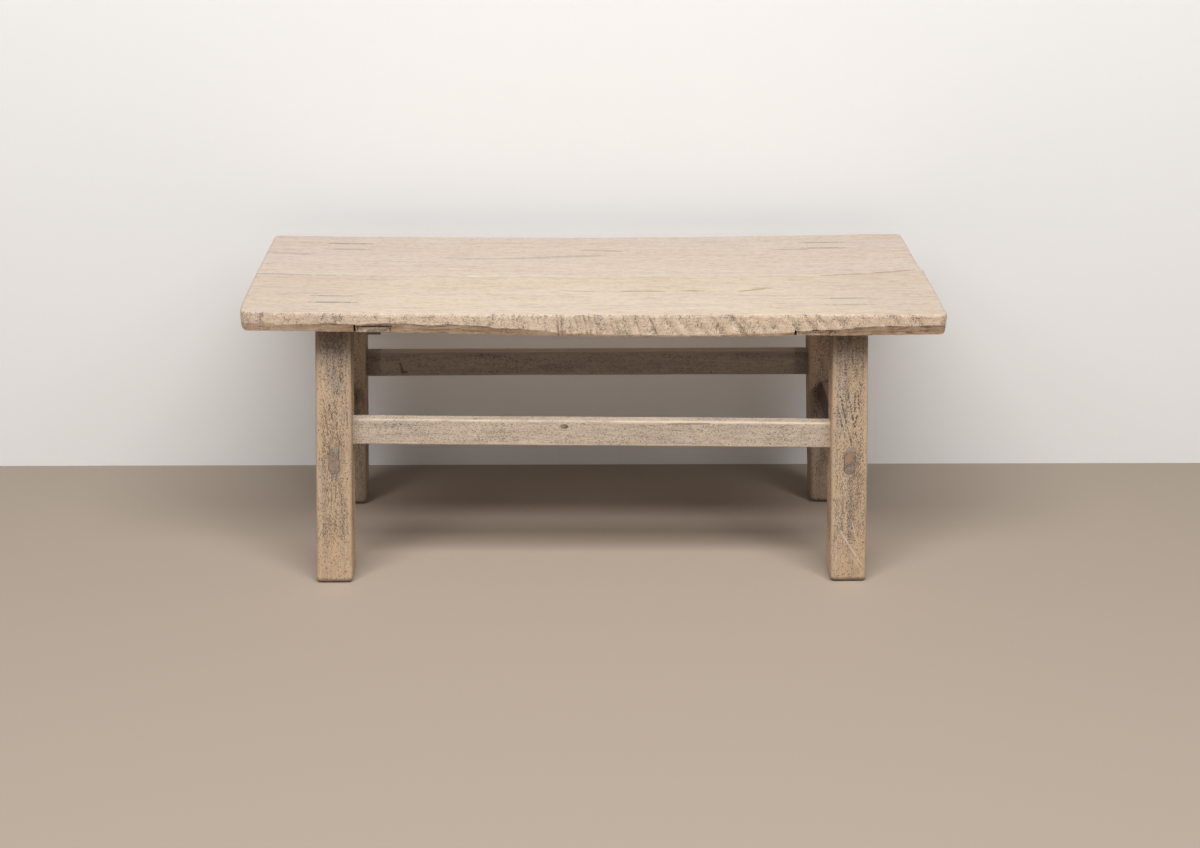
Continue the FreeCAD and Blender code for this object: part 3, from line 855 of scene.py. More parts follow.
# The front rail's Warm is lighter than its Light, so its rubbed arrises show a pale line: partly wear,
# partly a painted highlight.
scrubbed = {"Light": (0.735, 0.61, 0.49), "Warm": (0.80, 0.66, 0.51),
            "Grey": (0.58, 0.50, 0.43), "Dirt": (0.085, 0.075, 0.075)}
# The third colour is painted shade for the inside of the chips beside the battens.
dark_line, pit_dark, hole_shade = (0.16, 0.12, 0.09), (0.07, 0.062, 0.06), (0.03, 0.025, 0.02)
rust_line, pale_line = (0.36, 0.21, 0.12), (0.86, 0.78, 0.68)


# %% Kinds of marks
def face_mark(x0, y0, x1, y1, width, strength, tint=dark_line):
    """A line along the grain in the top's face."""
    return ((x0, y0, float(surface_at(x0))), (x1, y1, float(surface_at(x1))), width, strength, tint)


def edge_mark(x0, z0, x1, z1, width, strength):
    """A dark line on the wane, 2 mm behind the front line of the top."""
    y0, y1 = (float(top_line("front", x)) + 0.002 for x in (x0, x1))
    return ((x0, y0, z0), (x1, y1, z1), width, strength, pit_dark)


def notch_shade_mark(x, low, high, depth):
    """Painted shade deep in a chip beside a batten's end."""
    y = float(top_line("front", x)) + depth
    return ((x, y, low), (x, y, high), 0.0046, 2.8, hole_shade)


def mortise_marks(corner):
    """The two dark lines of a mortise, front and back, in the top's surface."""
    middle, half = tenons[corner].middle(tenon_top), tenons[corner].half(0.476)
    left, right = middle[0] - half[0] - 0.014, middle[0] + half[0] + 0.012
    strengths = {"front_left": (0.55, 0.35), "front_right": (0.32, 0.32),
                 "back_left": (0.35, 0.55), "back_right": (0.45, 0.45)}[corner]
    marks = []
    for side, strength in zip((-1, 1), strengths):
        y = middle[1] + side * (half[1] + 0.0004)
        marks.append(face_mark(left, y, right, y, 0.0042, strength))
    return marks


def seam_marks(start, end, count, width, strength, tint):
    """Where dirt fills the seam: a line in short straight pieces."""
    places = np.linspace(start, end, count + 1)
    return [face_mark(a, float(top_line("seam", a)), b, float(top_line("seam", b)), width, strength, tint)
            for a, b in zip(places, places[1:])]


# %% The top's marks
left_notch, right_notch = -0.3742, 0.3160
seams = (seam_marks(-0.575, -0.41, 1, 0.0030, 0.45, dark_line)
         + seam_marks(-0.43, -0.19, 1, 0.0028, 0.35, dark_line)
         + seam_marks(-0.2, 0.35, 3, 0.0030, 0.2, rust_line)
         + seam_marks(0.375, 0.54, 2, 0.0034, 0.6, rust_line))
front_marks = mortise_marks("front_left") + mortise_marks("front_right") + seams + [
    face_mark(*line) for line in (
        (0.408, -0.143, 0.440, -0.144, 0.003, 0.5),
        (-0.053, -0.084, 0.0117, -0.0914, 0.003, 0.35, rust_line),
        (0.044, -0.088, 0.12, -0.0887, 0.0036, 0.55, rust_line),
        (0.141, -0.0875, 0.1815, -0.088, 0.0034, 0.55, rust_line),
        (0.233, -0.0916, 0.28, -0.0803, 0.0034, 0.6, rust_line),
        (0.2554, -0.0762, 0.296, -0.0773, 0.003, 0.55, rust_line),
        (-0.06, 0.004, -0.02, 0.003, 0.003, 0.3, rust_line),
        (-0.153, -0.199, -0.1154, -0.2, 0.0026, 0.75))] + [
    notch_shade_mark(left_notch, 0.4455, 0.4612, 0.0092), notch_shade_mark(right_notch, 0.4430, 0.4535, 0.0062),
    edge_mark(0.330, 0.4534, 0.378, 0.4534, 0.0020, 1.2),
    edge_mark(0.3785, 0.4530, 0.3770, 0.4460, 0.0020, 0.9)]
back_marks = mortise_marks("back_left") + mortise_marks("back_right") + seams + [
    face_mark(*line) for line in (
        (-0.57, 0.108, -0.466, 0.094, 0.008, 0.18),
        (-0.262, 0.082, -0.1538, 0.0797, 0.007, 0.16),
        (-0.1538, 0.0797, 0.0244, 0.0998, 0.008, 0.22),
        (-0.018, 0.1293, 0.054, 0.122, 0.006, 0.3, rust_line),
        (0.31, 0.128, 0.375, 0.126, 0.006, 0.2))]
board_levels = {"Bands": 0.5, "Streaks": 0.6, "Speckle": 0.0, "Pores": 0.3}
finishes = {
    "front": elm("elm_front_board", "x", (0.3, 0.12, 0.35), bleached,
                 {**board_levels, "Clumps": 0.64, "Dot Size": 0.3}, front_marks),
    "back": elm("elm_back_board", "x", (1.9, 0.31, -0.62), pinkish, board_levels, back_marks)}
print("marks on the two boards:", len(front_marks), "and", len(back_marks))

# %% What a finish has to know of a face
def facing(mesh, axis):
    """How far each point's face looks along an axis, from -1 to 1."""
    return coordinates(mesh, "normal")[:, axis]


def mark_ends(mesh, axis):
    """How square each point's face stands across the grain."""
    note(mesh, "end_grain", smooth_step(np.abs(facing(mesh, axis)), 0.75, 0.95))


def mark_raw(mesh):
    """Faces that look down were never bleached: the underside, the grooves and most of the wane."""
    x, y, z = coordinates(mesh).T
    on_wane = smooth_step(wane_at(x)[1] - z, -0.0004, 0.0008) * (1 - 0.65 * smooth_step(-x, 0.40, 0.46))
    on_edge = y < top_line("front", x) + 0.012
    note(mesh, "raw", np.where(on_edge, on_wane, smooth_step(-facing(mesh, 2), 0.05, 0.5)))


def dulled_at(points):
    """The top's ends are a little greyer than its middle, the front board more so."""
    share = np.where(points[:, 1] < top_line("seam", points[:, 0]), 1.0, 0.45)
    return share * smooth_step(np.abs(points[:, 0]), 0.26, 0.47) * smooth_step(points[:, 2], 0.43, 0.46)


# %% The bodies that cut the top's joints
def mortise_body(corner):
    """The mortise for a tenon and its two wedges, a hair wider in front and behind."""
    rings = []
    for z, for_wedge in ((0.44, 0.0002), (0.450, 0.0008), (0.483, 0.0062), (0.5, 0.0090)):
        middle, half = tenons[corner].middle(z), tenons[corner].half(z)
        x, y = half[0] + for_wedge, half[1] + 0.0005
        rings.append([(middle[0] + way_x * x, middle[1] + way_y * y, z)
                      for way_x, way_y in ((-1, -1), (1, -1), (1, 1), (-1, 1))])
    return body(rings)


def batten_section(node, y, extra=0.0):
    """A batten's middle, its half widths at top and neck, and its heights at bottom, neck and top."""
    cut_at, slope, neck = 0.15, 0.0041, 0.004
    sections = []
    for at in (-cut_at, cut_at):
        low, high = cut_box(node, 1, at)
        half = (high[0] - low[0]) / 2
        sections.append(np.array([(low[0] + high[0]) / 2, half + extra, half - slope + extra,
                                  low[2], low[2] + neck, high[2] + extra]))
    section = sections[0] + (sections[1] - sections[0]) * (y + cut_at) / (2 * cut_at)
    if node == "batten_right":
        section[5] -= 0.0074 * float(smooth_step(y, -0.186, -0.199))
    return section


def dovetail(section, lower=0.0):
    """The six corners of a batten's section, in order, its bottom lowered if asked."""
    middle, wide, narrow, bottom, shoulder, top = section
    return [(middle - wide, top), (middle + wide, top),
            (middle + narrow, shoulder), (middle + narrow, bottom - lower),
            (middle - narrow, bottom - lower), (middle - narrow, shoulder)]


def groove_body(node):
    return body([[(x, y, z) for x, z in dovetail(batten_section(node, y, 0.0003), 0.01)]
                 for y in (-0.25, -0.199, -0.194, -0.190, -0.186, 0.25)])


def notch_body(x, low, high, half, depth):
    """A chip broken out of the front edge beside a batten's end."""
    y = float(top_line("front", x))
    outline = [(-half, low), (half, low), (0.9 * half, high), (-0.8 * half, high)]
    return body([[(x + dx, y + away, z) for dx, z in outline] for away in (-0.003, depth)])


def pin_bodies():
    """The four holes for the bamboo pins, across the seam in the middle of the boards."""
    turns = np.linspace(0, 2 * math.pi, 17)[:-1]
    radius, reach = 0.00305, 0.026
    bodies = []
    for x in np.array([-0.87, -0.3, 0.3, 0.87]) * top_shape["half"]:
        y, z = top_line("seam", x), surface_at(x) - top_shape["thickness"] / 2
        bodies.append(body([[(x + radius * math.cos(t), y + side * reach, z + radius * math.sin(t))
                             for t in turns] for side in (-1, 1)]))
    return bodies


# %% Finish the two boards
notches = [notch_body(left_notch, 0.4460, 0.4622, 0.0019, 0.0110),
           notch_body(right_notch, 0.4420, 0.4545, 0.0020, 0.0085)]
board_wear = {"Grain": (0.22, 1, 1), "Wave Depth": 0.0006, "Wave Size": 0.09, "Grain Depth": 0.0001,
              "Pit Depth": 0.0005, "Pit Cover": 0.3}
for side, seed, more_trees, more_cuts in (
        ("front", 4.0, [(hewn_edge, {})], notches), ("back", 9.0, [], [])):
    mesh = grow(skins[side], [(worn_timber, {**board_wear, "Seed": seed})] + more_trees, finishes[side])
    cuts = [mortise_body(side + "_left"), mortise_body(side + "_right")] + more_cuts
    mesh = carve(mesh, cuts + [groove_body("batten_left"), groove_body("batten_right")] + pin_bodies())
    mark_ends(mesh, 0)
    mark_raw(mesh)
    note(mesh, "dulled", dulled_at(coordinates(mesh)))
    dress(mesh, side + "_board", finishes[side], ["top_" + side + "_board"])
    print("attributes kept:", [layer.name for layer in mesh.attributes])

# %% [markdown]
# ## The legs
# A leg is one skin from its chamfered foot, up the shaft to its shoulder under the top, and on as the
# tenon that comes out in the top's surface. It leans out both ways, so each ring lies level while its
# middle follows the leaning line.

# %% Legs
shoulder_at = 0.4425
# the rounded foot: a height, and how far the leg draws in there
foot_chamfer = ((0.0, 0.0058), (0.0008, 0.0042), (0.0024, 0.0023), (0.0046, 0.0008), (0.0074, 0.0))


def underside_at(x, y):
    """The underside of the top over a point, where a leg's shoulder stops."""
    plain = surface_at(x) - top_shape["thickness"]
    front, seam = top_line("front", x), top_line("seam", x)
    share = np.clip((seam - y) / (seam - front), 0, 1)
    return plain + (top_line("low_front", x) - plain) * share


def level_ring(post, at, more_x, more_y, radius):
    """A rounded ring round a leg or a tenon at a height, a little larger or smaller than the solid."""
    middle, half = post.middle(at), post.half(at)
    ring = rounded_ring(half[0] + more_x, half[1] + more_y, radius, 26, 26)
    return np.column_stack([middle[:2] + ring, np.full(len(ring), at)])


def leg_mesh(corner):
    shaft, tenon = shafts[corner], tenons[corner]
    rings = [level_ring(shaft, z, -inset, -inset, 0.0055)
             for z, inset in (*foot_chamfer, *((z, 0.0) for z in np.arange(0.0095, shoulder_at, 0.002)))]
    base = rings[-1]
    rise = underside_at(base[:, 0], base[:, 1]) + 0.0008 - base[:, 2]
    lean = (shaft.middle(0.45) - shaft.middle(shoulder_at))[:2]
    for share in (0.34, 0.67, 1.0):
        rings.append(base + share * np.column_stack([np.tile(lean, (len(base), 1)), rise]))
    outer = rings[-1]
    inner = level_ring(tenon, float(outer[:, 2].mean()), 0.0, 0.0, 0.0008)
    inner[:, 2] = outer[:, 2]
    rings += [outer + (inner - outer) * 0.5, inner]
    for share, inset in ((0.2, 0.0), (0.4, 0.0), (0.6, 0.0), (0.8, 0.0), (0.96, 0.0), (1.0, 0.0004)):
        z = inner[:, 2] + (surface_at(inner[:, 0]) + 0.0001 - inner[:, 2]) * share
        ring = level_ring(tenon, float(z.mean()), 0.0002, -inset, 0.0006)
        ring[:, 2] = z
        rings.append(ring)
    mesh = skin("leg_" + corner, rings)
    z = coordinates(mesh)[:, 2]
    note(mesh, "free", smooth_step(z, 0.0005, 0.008) * smooth_step(z, 0.4455, 0.437))
    return mesh


# %% [markdown]
# ## The stretchers
# A stretcher runs from leg to leg, stops at a square shoulder, and goes on through the leg as a
# tenon whose end grain shows on the far side. The legs lean, so each point of a ring is carried
# along the bar until it meets the leaning face.

# %% Rails with through tenons
def leg_face(corner, axis, z, side):
    """Where a leg's flat face is at a height, on the low or high side of an axis."""
    middle, half = shafts[corner].middle(z), shafts[corner].half(z)
    return middle[..., axis] + side * half[..., axis]


def rail_parts(node, axis, first, last, section_at, radius, tenon_radius):
    """The skin of one stretcher, and the bodies that cut its mortises in the two legs."""
    across = 1 - axis
    tenon_at = [float(shafts[corner].middle(0.23)[axis]) for corner in (first, last)]
    bar, tenon = Post(node, axis, -section_at, section_at), Post(node, axis, *tenon_at)

    def outline(post, more, corner_radius):
        """A rounded outline, a little larger or smaller than the solid's."""
        half = post.halves[0]
        return rounded_ring(half[across] + more, half[2] + more, corner_radius, 8, 22)

    def ring_at(post, at, ring, place):
        """An outline set round the rail's middle line, each point where its height asks for it."""
        middle = post.middle(at)
        points = np.zeros((len(ring), 3))
        points[:, across] = middle[across] + ring[:, 0]
        points[:, 2] = middle[2] + ring[:, 1]
        points[:, axis] = place(points[:, 2])
        return points

    tenon_ring = outline(tenon, 0.0, tenon_radius)
    small_ring = outline(tenon, -0.0005, tenon_radius - 0.0003)
    cut_ring = outline(tenon, 0.0002, tenon_radius + 0.0002)
    end_parts, inner_faces, cuts = [], [], {}
    for corner, way, at in ((first, -1, tenon_at[0]), (last, 1, tenon_at[1])):
        def outer(z):
            return leg_face(corner, axis, z, way) + way * 0.0002

        def inner(z, corner=corner, way=way):
            return leg_face(corner, axis, z, -way) + way * 0.0007

        end_parts.append([ring_at(tenon, at, ring, lambda z: outer(z) + (inner(z) - outer(z)) * share)
                          for share, ring in ((0.0, small_ring), (0.025, tenon_ring), (0.3, tenon_ring),
                                              (0.6, tenon_ring), (1.0, tenon_ring))])
        cuts[corner] = body([ring_at(tenon, at, cut_ring, lambda z: outer(z) + way * 0.006),
                             ring_at(tenon, at, cut_ring, lambda z: inner(z) - way * 0.006)])
        inner_faces.append(inner)
    start, end = inner_faces
    bar_ring = outline(bar, -0.0001, radius)
    length = tenon_at[1] - tenon_at[0]
    bar_part = [ring_at(bar, tenon_at[0] + 0.03 + (length - 0.06) * share, bar_ring,
                        lambda z: start(z) + (end(z) - start(z)) * share)
                for share in np.linspace(0, 1, int(length / 0.0022))]
    mesh = skin(node, end_parts[0] + bar_part + end_parts[1][::-1])
    points = coordinates(mesh)
    along, z = points[:, axis], points[:, 2]
    inside = np.minimum(along - leg_face(first, axis, z, 1), leg_face(last, axis, z, -1) - along)
    note(mesh, "free", smooth_step(inside, 0.0, 0.008))
    print(node, "bar", np.round(2000 * bar.halves[0], 1), "tenon", np.round(2000 * tenon.halves[0], 1))
    return mesh, cuts


rails = {}
for side, axis, first, last, *sizes in (
        ("front", 0, "front_left", "front_right", 0.3, 0.0025, 0.003),
        ("back", 0, "back_left", "back_right", 0.3, 0.0025, 0.003),
        ("left", 1, "front_left", "back_left", 0.09, 0.0045, 0.0075),
        ("right", 1, "front_right", "back_right", 0.09, 0.0045, 0.0075)):
    rails["stretcher_" + side] = rail_parts("stretcher_" + side, axis, first, last, *sizes)

# %% What a finish has to know of a leg
def mark_arrises(mesh, post, axis, reach):
    """How near each point is to a timber's four long corners, where wear keeps the wood clean."""
    points = coordinates(mesh)
    inset = post.half(points[:, axis]) - np.abs(points - post.middle(points[:, axis]))
    near = np.delete(inset, axis, axis=1).max(1)
    note(mesh, "arris", smooth_step(near, 0.007, 0.001))
    foot = smooth_step(points[:, 2], 0.11, 0.03) if axis == 2 else 0
    note(mesh, "clean", np.maximum(smooth_step(near, reach, 0.001), foot))


def mark_grime_and_shade(mesh, corner):
    """Painted shade on the feet where they meet the floor; on a leg's head under the top, painted shade
    mixed with its own unscrubbed grime; on a back leg inside its end rail, a painted shadow of that rail.
    """
    points = coordinates(mesh)
    height = points[:, 2]
    grime_and_shade = 0.8 * smooth_step(height, 0.012, 0.003)
    grime_and_shade += 0.70 * smooth_step(height, 0.33, 0.44) * smooth_step(height, 0.47, 0.46)
    # A painted shadow of the end rail, its upper edge slanting, on the inner part of each back leg's
    # front face.
    inward, strength = {"back_left": (1, 0.34), "back_right": (-1, 0.62)}.get(corner, (0, 0))
    if inward:
        from_rail = (points[:, 0] - shafts[corner].middle(height)[:, 0]) * inward
        upper = 0.2375 - 0.8 * np.maximum(from_rail - 0.008, 0)
        inside = smooth_step(-facing(mesh, 1), 0.2, 0.8) * smooth_step(from_rail, -0.014, -0.008)
        grime_and_shade += strength * inside * smooth_step(height, upper + 0.004, upper - 0.003) * smooth_step(
            height, 0.14, 0.18)
    note(mesh, "grime_and_shade", grime_and_shade)


def mark_bleach(mesh):
    """Tenons and wedges were scrubbed and bleached with the top, so their upper ends are as pale."""
    points = coordinates(mesh)
    below_face = surface_at(points[:, 0]) - points[:, 2]
    note(mesh, "bleach", smooth_step(below_face, 0.0035, 0.001))
    note(mesh, "dulled", dulled_at(points) * smooth_step(points[:, 2], 0.455, 0.465))


# %% The legs' marks
stain, rust_spot = (0.33, 0.285, 0.25), (0.50, 0.29, 0.17)


def post_mark(corner, x0, z0, x1, z1, width, strength, tint):
    """A mark in a front leg's front face, or in the tenon end that shows there."""
    ends = ((x, float(leg_face(corner, 1, z, -1)), z) for x, z in ((x0, z0), (x1, z1)))
    return (*ends, width, strength, tint)


def dash_rows(corner, width, strength, rows):
    """Rows of short dark pits in a leg's front face, along its growth rings, from rows of X and Z."""
    return [(*post_mark(corner, *a, *b, width, strength, pit_dark), 1.0)
            for row in rows for a, b in zip(row, row[1:])]


leg_marks = {
    "front_left": [post_mark("front_left", -0.4165, 0.244, -0.4175, 0.188, 0.0135, 0.55, stain)]
    + dash_rows("front_left", 0.0019, 0.6, [
        [(-0.432, 0.326), (-0.428, 0.268)], [(-0.424, 0.318), (-0.418, 0.287)],
        [(-0.397, 0.350), (-0.395, 0.276)], [(-0.405, 0.357), (-0.415, 0.318)],
        [(-0.409, 0.250), (-0.416, 0.208), (-0.420, 0.150)],
        [(-0.427, 0.254), (-0.424, 0.200), (-0.428, 0.130)]]),
    "front_right": [
        post_mark("front_right", 0.4165, 0.242, 0.4175, 0.196, 0.0125, 0.6, stain),
        ((0.4075, -0.1815, 0.240), (0.4085, -0.183, 0.187), 0.0018, 0.35, dark_line),
        ((0.4255, -0.1815, 0.240), (0.4265, -0.183, 0.187), 0.0018, 0.35, dark_line),
        ((0.404, -0.1815, 0.103), (0.451, -0.1835, 0.027), 0.0020, 0.5, pale_line),
        ((0.423, -0.181, 0.125), (0.442, -0.1825, 0.063), 0.0018, 0.42, pale_line),
        ((0.428, -0.183, 0.050), (0.448, -0.1838, 0.022), 0.0018, 0.42, pale_line)]
    + dash_rows("front_right", 0.0021, 0.85, [
        [(0.4011, 0.3927), (0.4034, 0.368)],
        [(0.3965, 0.3335), (0.4045, 0.3026), (0.4102, 0.2812), (0.4204, 0.2459)],
        [(0.4087, 0.3373), (0.4171, 0.3025), (0.4235, 0.2753)], [(0.4197, 0.3392), (0.4219, 0.3025)],
        [(0.4262, 0.3006), (0.4234, 0.2772), (0.4268, 0.2596)], [(0.4118, 0.4059), (0.4148, 0.3851)],
        [(0.3952, 0.3084), (0.4078, 0.2616)], [(0.4251, 0.3334), (0.4285, 0.3064)],
        [(0.4272, 0.3564), (0.4298, 0.3497)]])}

# %% Finish the legs
# Painted shade: the back legs take a darker copy of the weathered colours.
shady = {**weathered, "Light": (0.56, 0.455, 0.355), "Warm": (0.50, 0.385, 0.28),
         "Grey": (0.38, 0.32, 0.27)}
leg_levels = {"Bands": 0.8, "Streaks": 0.75, "Speckle": 0.72, "Pores": 0.5, "Clumps": 0.46,
              "Dot Size": 0.5}
leg_wear = {"Grain": (1, 1, 0.2), "Wave Depth": 0.0011, "Wave Size": 0.045, "Grain Depth": 0.00016,
            "Grain Size": 0.004, "Pit Depth": 0.0007, "Pit Size": 0.0055, "Pit Cover": 0.5}
for number, corner in enumerate(corners):
    finish = elm("elm_leg_" + corner, "z", (0.37 * number, 0.11 * number + 0.21, 0.17),
                 weathered if corner in leg_marks else shady, leg_levels,
                 mortise_marks(corner) + leg_marks.get(corner, []))
    mesh = grow(leg_mesh(corner), [(worn_timber, {**leg_wear, "Seed": 3.0 + 5 * number})], finish)
    mesh = carve(mesh, [cuts[corner] for _, cuts in rails.values() if corner in cuts])
    mark_arrises(mesh, shafts[corner], 2, 0.009 if corner == "front_right" else 0.016)
    mark_ends(mesh, 2)
    mark_bleach(mesh)
    mark_grime_and_shade(mesh, corner)
    dress(mesh, "post_" + corner, finish, ["leg_" + corner])

# %% The stretchers' marks
front_bar, back_bar = Post("stretcher_front", 0, -0.3, 0.3), Post("stretcher_back", 0, -0.3, 0.3)


def bar_mark(bar, x0, z0, x1, z1, width, strength):
    """A line in a long stretcher's front face."""
    ends = ((x, float((bar.middle(x) - bar.half(x))[1]), z) for x, z in ((x0, z0), (x1, z1)))
    return (*ends, width, strength, dark_line)


rail_marks = {
    "front": [bar_mark(front_bar, -0.052, 0.2712, -0.040, 0.2704, 0.0055, 1.0),
              bar_mark(front_bar, 0.12, 0.275, 0.19, 0.2765, 0.003, 0.5)],
    "back": [bar_mark(back_bar, -0.3345, 0.270, -0.330, 0.250, 0.0036, 1.0),
             bar_mark(back_bar, -0.334, 0.252, -0.321, 0.2515, 0.0036, 1.0)],
    "left": [post_mark("front_left", -0.4135, 0.219, -0.4135, 0.213, 0.0062, 0.9, rust_spot)],
    "right": [post_mark("front_right", 0.417, 0.230, 0.4172, 0.216, 0.0085, 0.65, rust_spot),
              post_mark("front_right", 0.417, 0.207, 0.4172, 0.201, 0.009, 0.5, stain)]}


def rail_painted_shade(mesh, side):
    """Painted shade on the front rail's top face and underside, painted shadows of the legs at the back
    rail's ends, and painted shade over the two end rails' inner faces.
    """
    if side == "front":
        up = facing(mesh, 2)
        return 0.13 * smooth_step(up, 0.75, 0.97) + 0.6 * smooth_step(-up, 0.2, 0.7)
    if side == "back":
        return 0.35 * smooth_step(np.abs(coordinates(mesh)[:, 0] + 0.003), 0.362, 0.369)
    way, strength = {"left": (1, 0.36), "right": (-1, 0.88)}[side]
    return strength * smooth_step(facing(mesh, 0) * way, 0.3, 0.8)


# %% Finish the stretchers
# Painted shade: the back rail and the two end rails take darker copies of the frame's colours.
shaded = {"Light": (0.42, 0.375, 0.335), "Warm": (0.36, 0.31, 0.27),
          "Grey": (0.30, 0.27, 0.25), "Dirt": (0.06, 0.055, 0.05)}
shade_darkened = {"Light": (0.46, 0.37, 0.29), "Warm": (0.42, 0.30, 0.21),
         "Grey": (0.30, 0.25, 0.21), "Dirt": (0.06, 0.055, 0.05)}
rail_levels = {"Bands": 0.7, "Streaks": 0.6, "Speckle": 0.5, "Pores": 0.45}
rail_wear = {"Wave Depth": 0.0008, "Wave Size": 0.05, "Grain Depth": 0.00014, "Grain Size": 0.004,
             "Pit Depth": 0.0005, "Pit Size": 0.005, "Pit Cover": 0.38}
rail_rows = (("front", 0, scrubbed, {"Speckle": 0.58, "Clumps": 0.34}, 0.0),
             ("back", 0, shaded, {"Clumps": 0.5}, 0.95),
             ("left", 1, shade_darkened, {"Clumps": 0.5}, 0.3), ("right", 1, shade_darkened, {"Clumps": 0.5}, 0.3))
for number, (side, axis, colors, levels, top_light) in enumerate(rail_rows):
    finish = elm("elm_stretcher_" + side, "xy"[axis], (0.53 * number, 0.23, 0.19 + 0.1 * number), colors,
                 {**rail_levels, **levels}, rail_marks[side])
    grain = ((0.2, 1, 1), (1, 0.2, 1))[axis]
    mesh = grow(rails["stretcher_" + side][0],
                [(worn_timber, {**rail_wear, "Grain": grain, "Seed": 31.0 + 7 * number})], finish)
    mark_arrises(mesh, Post("stretcher_" + side, axis, -0.09, 0.09), axis, 0.006)
    mark_ends(mesh, axis)
    note(mesh, "grime_and_shade", rail_painted_shade(mesh, side))
    # Painted light: the top faces of the back rail and the end rails are paler, as light falls on them
    # from above.
    if top_light:
        note(mesh, "top_light", top_light * smooth_step(facing(mesh, 2), 0.4, 0.85))
    dress(mesh, "rail_" + side, finish, ["stretcher_" + side])

# %% [markdown]
# ## Battens, wedges and pins
# The battens are dovetailed bars in the underside; only their ends show under the front edge. The
# eight wedges repeat one shape, so a geometry tree sets one tapered block on eight points and turns
# each to its leg's lean. The bamboo pins stay as the construction model has them, hidden in the seam.

# %% The skin of a batten
def batten_ring(node, y, inset):
    """The dovetail at a place across the table, with more points on its long sides."""
    section = batten_section(node, y)
    middle, wide, _, bottom, _, top = section
    outline = dovetail(section)
    ring = []
    for (x0, z0), (x1, z1), count in zip(outline, outline[1:] + outline[:1], (20, 6, 3, 20, 3, 6)):
        ring += [(x0 + (x1 - x0) * t, z0 + (z1 - z0) * t) for t in np.linspace(0, 1, count + 1)[:-1]]
    centre = np.array([middle, (bottom + top) / 2])
    ring = centre + (np.array(ring) - centre) * (1 - inset / np.array([wide, (top - bottom) / 2]))
    return np.column_stack([ring[:, 0], np.full(len(ring), y), ring[:, 1]])


def batten_mesh(node):
    low, high = (corner.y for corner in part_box(node))
    rings = [batten_ring(node, low + 0.0003, 0.0009)]
    rings += [batten_ring(node, y, 0.0) for y in np.linspace(low + 0.0015, high - 0.0015, 150)]
    rings += [batten_ring(node, high - 0.0003, 0.0009)]
    mesh = skin(node, rings)
    points = coordinates(mesh)
    if node == "batten_left":
        # the front end of the left batten is broken off below, but for a piece that hangs down
        middle = batten_section(node, high - 0.0003)[0]
        broken = (points[:, 1] < -0.183) & (points[:, 2] < 0.4488)
        hanging = np.abs(points[:, 0] - middle + 0.0015) < 0.0125
        points[broken & ~hanging, 2] = np.maximum(points[broken & ~hanging, 2], 0.4482)
        points[broken & hanging, 2] -= 0.0012
        mesh.vertices.foreach_set("co", points.ravel())
    note(mesh, "free", smooth_step(points[:, 2], 0.4500, 0.4465))
    return mesh


# %% Finish the battens
# The left batten's Dirt colour is also the brown of the painted shade on its hanging piece.
left_key = {**weathered, "Light": (0.84, 0.67, 0.52), "Warm": (0.76, 0.57, 0.42),
            "Dirt": (0.045, 0.033, 0.025)}
# Painted light: the right batten's end sits in shade under the lip, so its colours are lighter than the
# wood's own.
right_key_lightened = {**weathered, "Light": (0.95, 0.77, 0.60), "Warm": (0.92, 0.70, 0.52)}
key_end = -0.1916
# The left batten's end: a pale line, a dark joint line at its top, and a painted shadow along its bottom.
key_marks = [((-0.369, key_end, 0.4546), (-0.322, key_end, 0.4546), 0.0024, 0.4, pale_line),
             ((-0.371, key_end, 0.4578), (-0.317, key_end, 0.4578), 0.0020, 1.1, pit_dark),
             ((-0.356, key_end, 0.4508), (-0.320, key_end, 0.4508), 0.0032, 0.6, (0.09, 0.07, 0.055))]
for number, (side, colors, marks, end, front_shade) in enumerate((
        ("left", left_key, key_marks, 0.7, 0.8), ("right", right_key_lightened, [], 0.0, -0.4))):
    finish = elm("elm_batten_" + side, "y", (0.9 + number, 0.4, 0.3 - 0.2 * number), colors,
                 rail_levels, marks)
    mesh = grow(batten_mesh("batten_" + side), [(worn_timber, {
        "Grain": (1, 0.2, 1), "Wave Depth": 0.0004, "Pit Cover": 0.35, "Seed": 71.0 + number})], finish)
    _, y, z = coordinates(mesh).T
    note(mesh, "end_grain", end * smooth_step(np.abs(facing(mesh, 1)), 0.75, 0.95))
    # Painted shade on the parts of a batten that hang below the top's underside: more at the left
    # batten's front end, none at the right batten's front end.
    grime_and_shade = 0.4 + front_shade * smooth_step(-y, 0.180, 0.187)
    note(mesh, "grime_and_shade", grime_and_shade * smooth_step(z, 0.4486, 0.4476))
    dress(mesh, "key_" + side, finish, ["batten_" + side])

